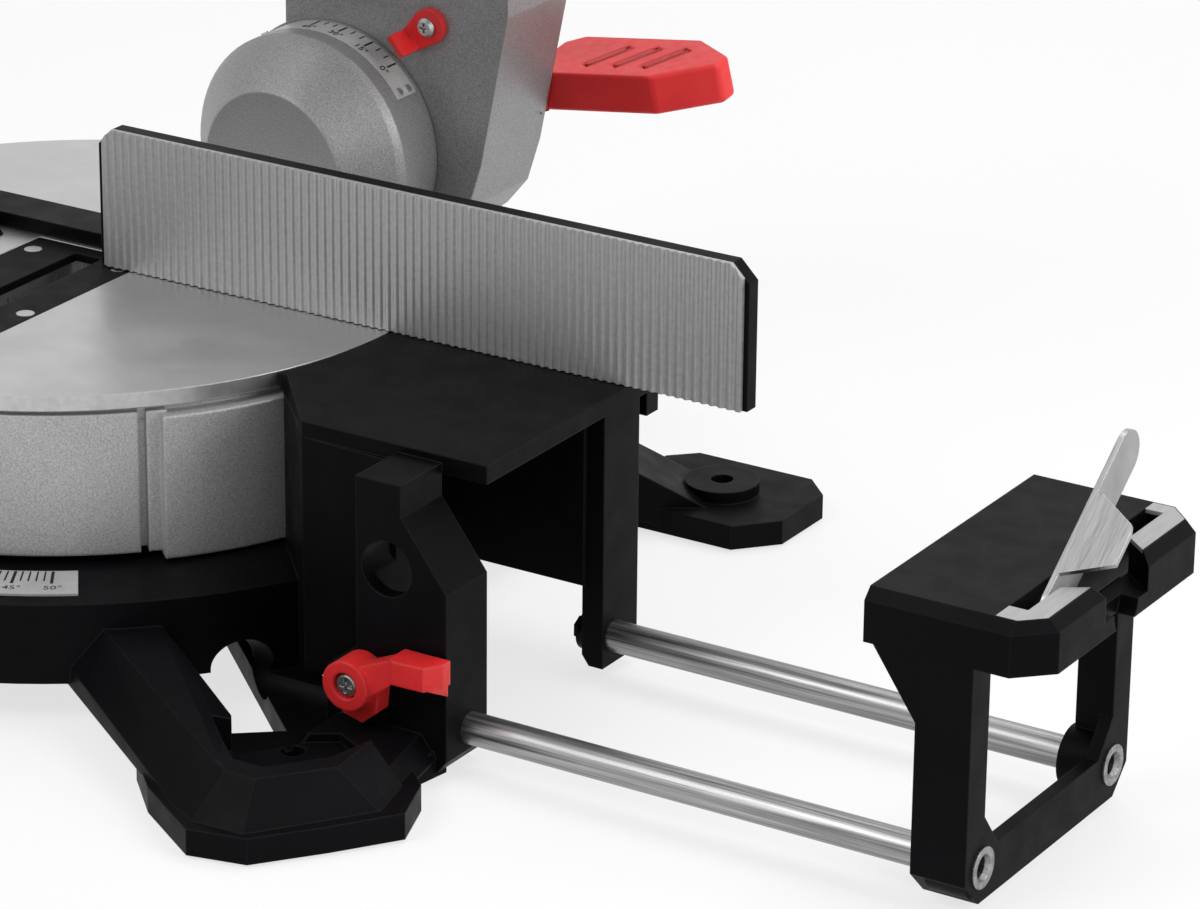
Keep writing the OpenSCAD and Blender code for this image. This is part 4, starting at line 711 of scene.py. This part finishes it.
def guard_marks():
    """Rim bead and the arrow that shows which way the blade turns, cast on the upper guard's left side."""
    bm = bmesh.new()
    low, high = GUARD_X - 0.9, GUARD_X + 0.2
    add_arc(bm, GUARD_R - 5, GUARD_R - 1.5, -18, 188, low, high)
    start, neck, tip = ARROW_TURN
    add_arc(bm, *ARROW_R, start, neck, low, high)
    head = [(sum(ARROW_R) / 2, tip), (ARROW_HEAD_R[0], neck), (ARROW_HEAD_R[1], neck)]
    corners = [(r * math.cos(math.radians(t)), r * math.sin(math.radians(t))) for r, t in head]
    add_slab(bm, corners, high, low)
    for vert in bm.verts:
        y, z, x = vert.co
        vert.co = Vector((x, ARBOR[0] + y, ARBOR[1] + z))
    bmesh.ops.recalc_face_normals(bm, faces=bm.faces)
    to_head(bm)
    made = piece("guard_marks", mesh_of(bm, "guard_marks"), looks["cast_aluminium"], "head")
    bevel = made.modifiers.new("round", "BEVEL")
    bevel.width = 0.35 * MM
    bevel.segments = 2


mitre_marks()
bevel_marks()
carbide_tips()
blade_slots()
grip()
guard_marks()

RIGHT = (1, 0, 0)
cover_screws = [(head_point(COVER_X, y, z), RIGHT) for y, z in COVER_SCREWS]
screw_heads("cover_screws", cover_screws, 3.4, 2.2, "head", looks["zinc_steel"])
cap_screws = []
for turn in (45, 135, 225, 315):
    y = CAP_SCREW_R * math.cos(math.radians(turn))
    z = CAP_SCREW_R * math.sin(math.radians(turn))
    cap_screws.append((head_point(*from_motor(CAP_X, (y, z))), RIGHT))
screw_heads("cap_screws", cap_screws, 3.2, 1.8, "head", looks["zinc_steel"])
grip_screws = [(head_point(*from_motor(GRIP_X + 0.95 * GRIP_HALF_X, place)), RIGHT) for place in
               (GRIP_PATH[0], GRIP_PATH[1], GRIP_PATH[5], GRIP_PATH[6])]
screw_heads("grip_screws", grip_screws, 3.2, 0.8, "head", looks["black_steel"])


def camera():
    """The photograph's view: 1200 by 909, found from the bars, the fence and the table's edge."""
    turn, tilt, roll = math.radians(31.706), math.radians(21.774), math.radians(-0.573)
    right = Vector((math.cos(turn), math.sin(turn), 0))
    ahead = Vector((-math.sin(turn) * math.cos(tilt), math.cos(turn) * math.cos(tilt), -math.sin(tilt)))
    down = -right.cross(ahead)
    across = math.cos(roll) * right + math.sin(roll) * down
    below = -math.sin(roll) * right + math.cos(roll) * down
    data = bpy.data.cameras.new("camera")
    data.sensor_width = 36
    data.lens = 155.71
    data.clip_end = 50
    made = bpy.data.objects.new("camera", data)
    made.matrix_world = Matrix.Translation((1.1679, -1.5014, 0.7883)) @ Matrix(
        (across, -below, -ahead)).transposed().to_4x4()
    bpy.context.scene.collection.objects.link(made)
    bpy.context.scene.camera = made


def lamp(name, place, aim, size, watts):
    data = bpy.data.lights.new(name, "AREA")
    data.shape = "RECTANGLE"
    data.size, data.size_y = size
    data.energy = watts
    made = bpy.data.objects.new(name, data)
    made.location = place
    made.rotation_euler = (Vector(aim) - Vector(place)).to_track_quat("-Z", "Y").to_euler()
    bpy.context.scene.collection.objects.link(made)


def white_to_viewer(tree):
    """1 for rays that should see a plain white surround, 0 for the rays that light the object."""
    path = tree.nodes.new("ShaderNodeLightPath")
    total = None
    for ray in ("Is Camera Ray", "Is Glossy Ray", "Is Transmission Ray"):
        if total is None:
            total = path.outputs[ray]
            continue
        join = tree.nodes.new("ShaderNodeMath")
        join.operation = "MAXIMUM"
        tree.links.new(total, join.inputs[0])
        tree.links.new(path.outputs[ray], join.inputs[1])
        total = join.outputs[0]
    return total


def surround():
    """White world, pale floor with a soft shadow, and three soft lamps."""
    world = bpy.data.worlds.new("studio")
    bpy.context.scene.world = world
    world.use_nodes = True
    tree = world.node_tree
    strength = tree.nodes.new("ShaderNodeMapRange")
    tree.links.new(white_to_viewer(tree), strength.inputs["Value"])
    strength.inputs["To Min"].default_value = 0.42
    strength.inputs["To Max"].default_value = 1.0
    tree.links.new(strength.outputs["Result"], tree.nodes["Background"].inputs["Strength"])
    tree.nodes["Background"].inputs["Color"].default_value = (1, 1, 1, 1)

    bm = bmesh.new()
    bmesh.ops.create_grid(bm, x_segments=2, y_segments=2, size=8.0)
    floor = bpy.data.objects.new("floor", mesh_of(bm, "floor"))
    floor.location = (0, 0, -0.0002)
    bpy.context.scene.collection.objects.link(floor)
    paper = Look("paper_floor", {"Roughness": 0.9, "Specular IOR Level": 0.1})
    paper.drive("Base Color", paper.tones(paper.noise(0.4, 2.0), grey(0.86), grey(0.90)))
    glow = paper.add("ShaderNodeEmission", {"Color": (1, 1, 1, 1), "Strength": 1.0})
    far = paper.add("ShaderNodeVectorMath", {0: paper.place}, operation="LENGTH").outputs["Value"]
    white = paper.span(far, 0.72, 1.0, (0.6, 1.8))
    viewer = white_to_viewer(paper.material.node_tree)
    share = paper.add("ShaderNodeMath", {0: viewer, 1: white}, operation="MULTIPLY")
    blend = paper.add("ShaderNodeMixShader", {0: share.outputs[0], 1: paper.shader.outputs[0],
                                              2: glow.outputs[0]})
    paper.links.new(blend.outputs[0], paper.nodes["Material Output"].inputs["Surface"])
    floor.data.materials.append(paper.material)

    lamp("key", (-0.5, -1.5, 1.7), (0.15, 0.0, 0.1), (1.2, 0.9), 18)
    lamp("over", (0.4, 0.7, 1.8), (0.2, 0.0, 0.1), (1.4, 1.0), 15)
    lamp("side", (1.7, 0.1, 0.8), (0.3, 0.0, 0.1), (0.8, 0.8), 13)
    bpy.context.scene.view_settings.view_transform = "Standard"


camera()
surround()
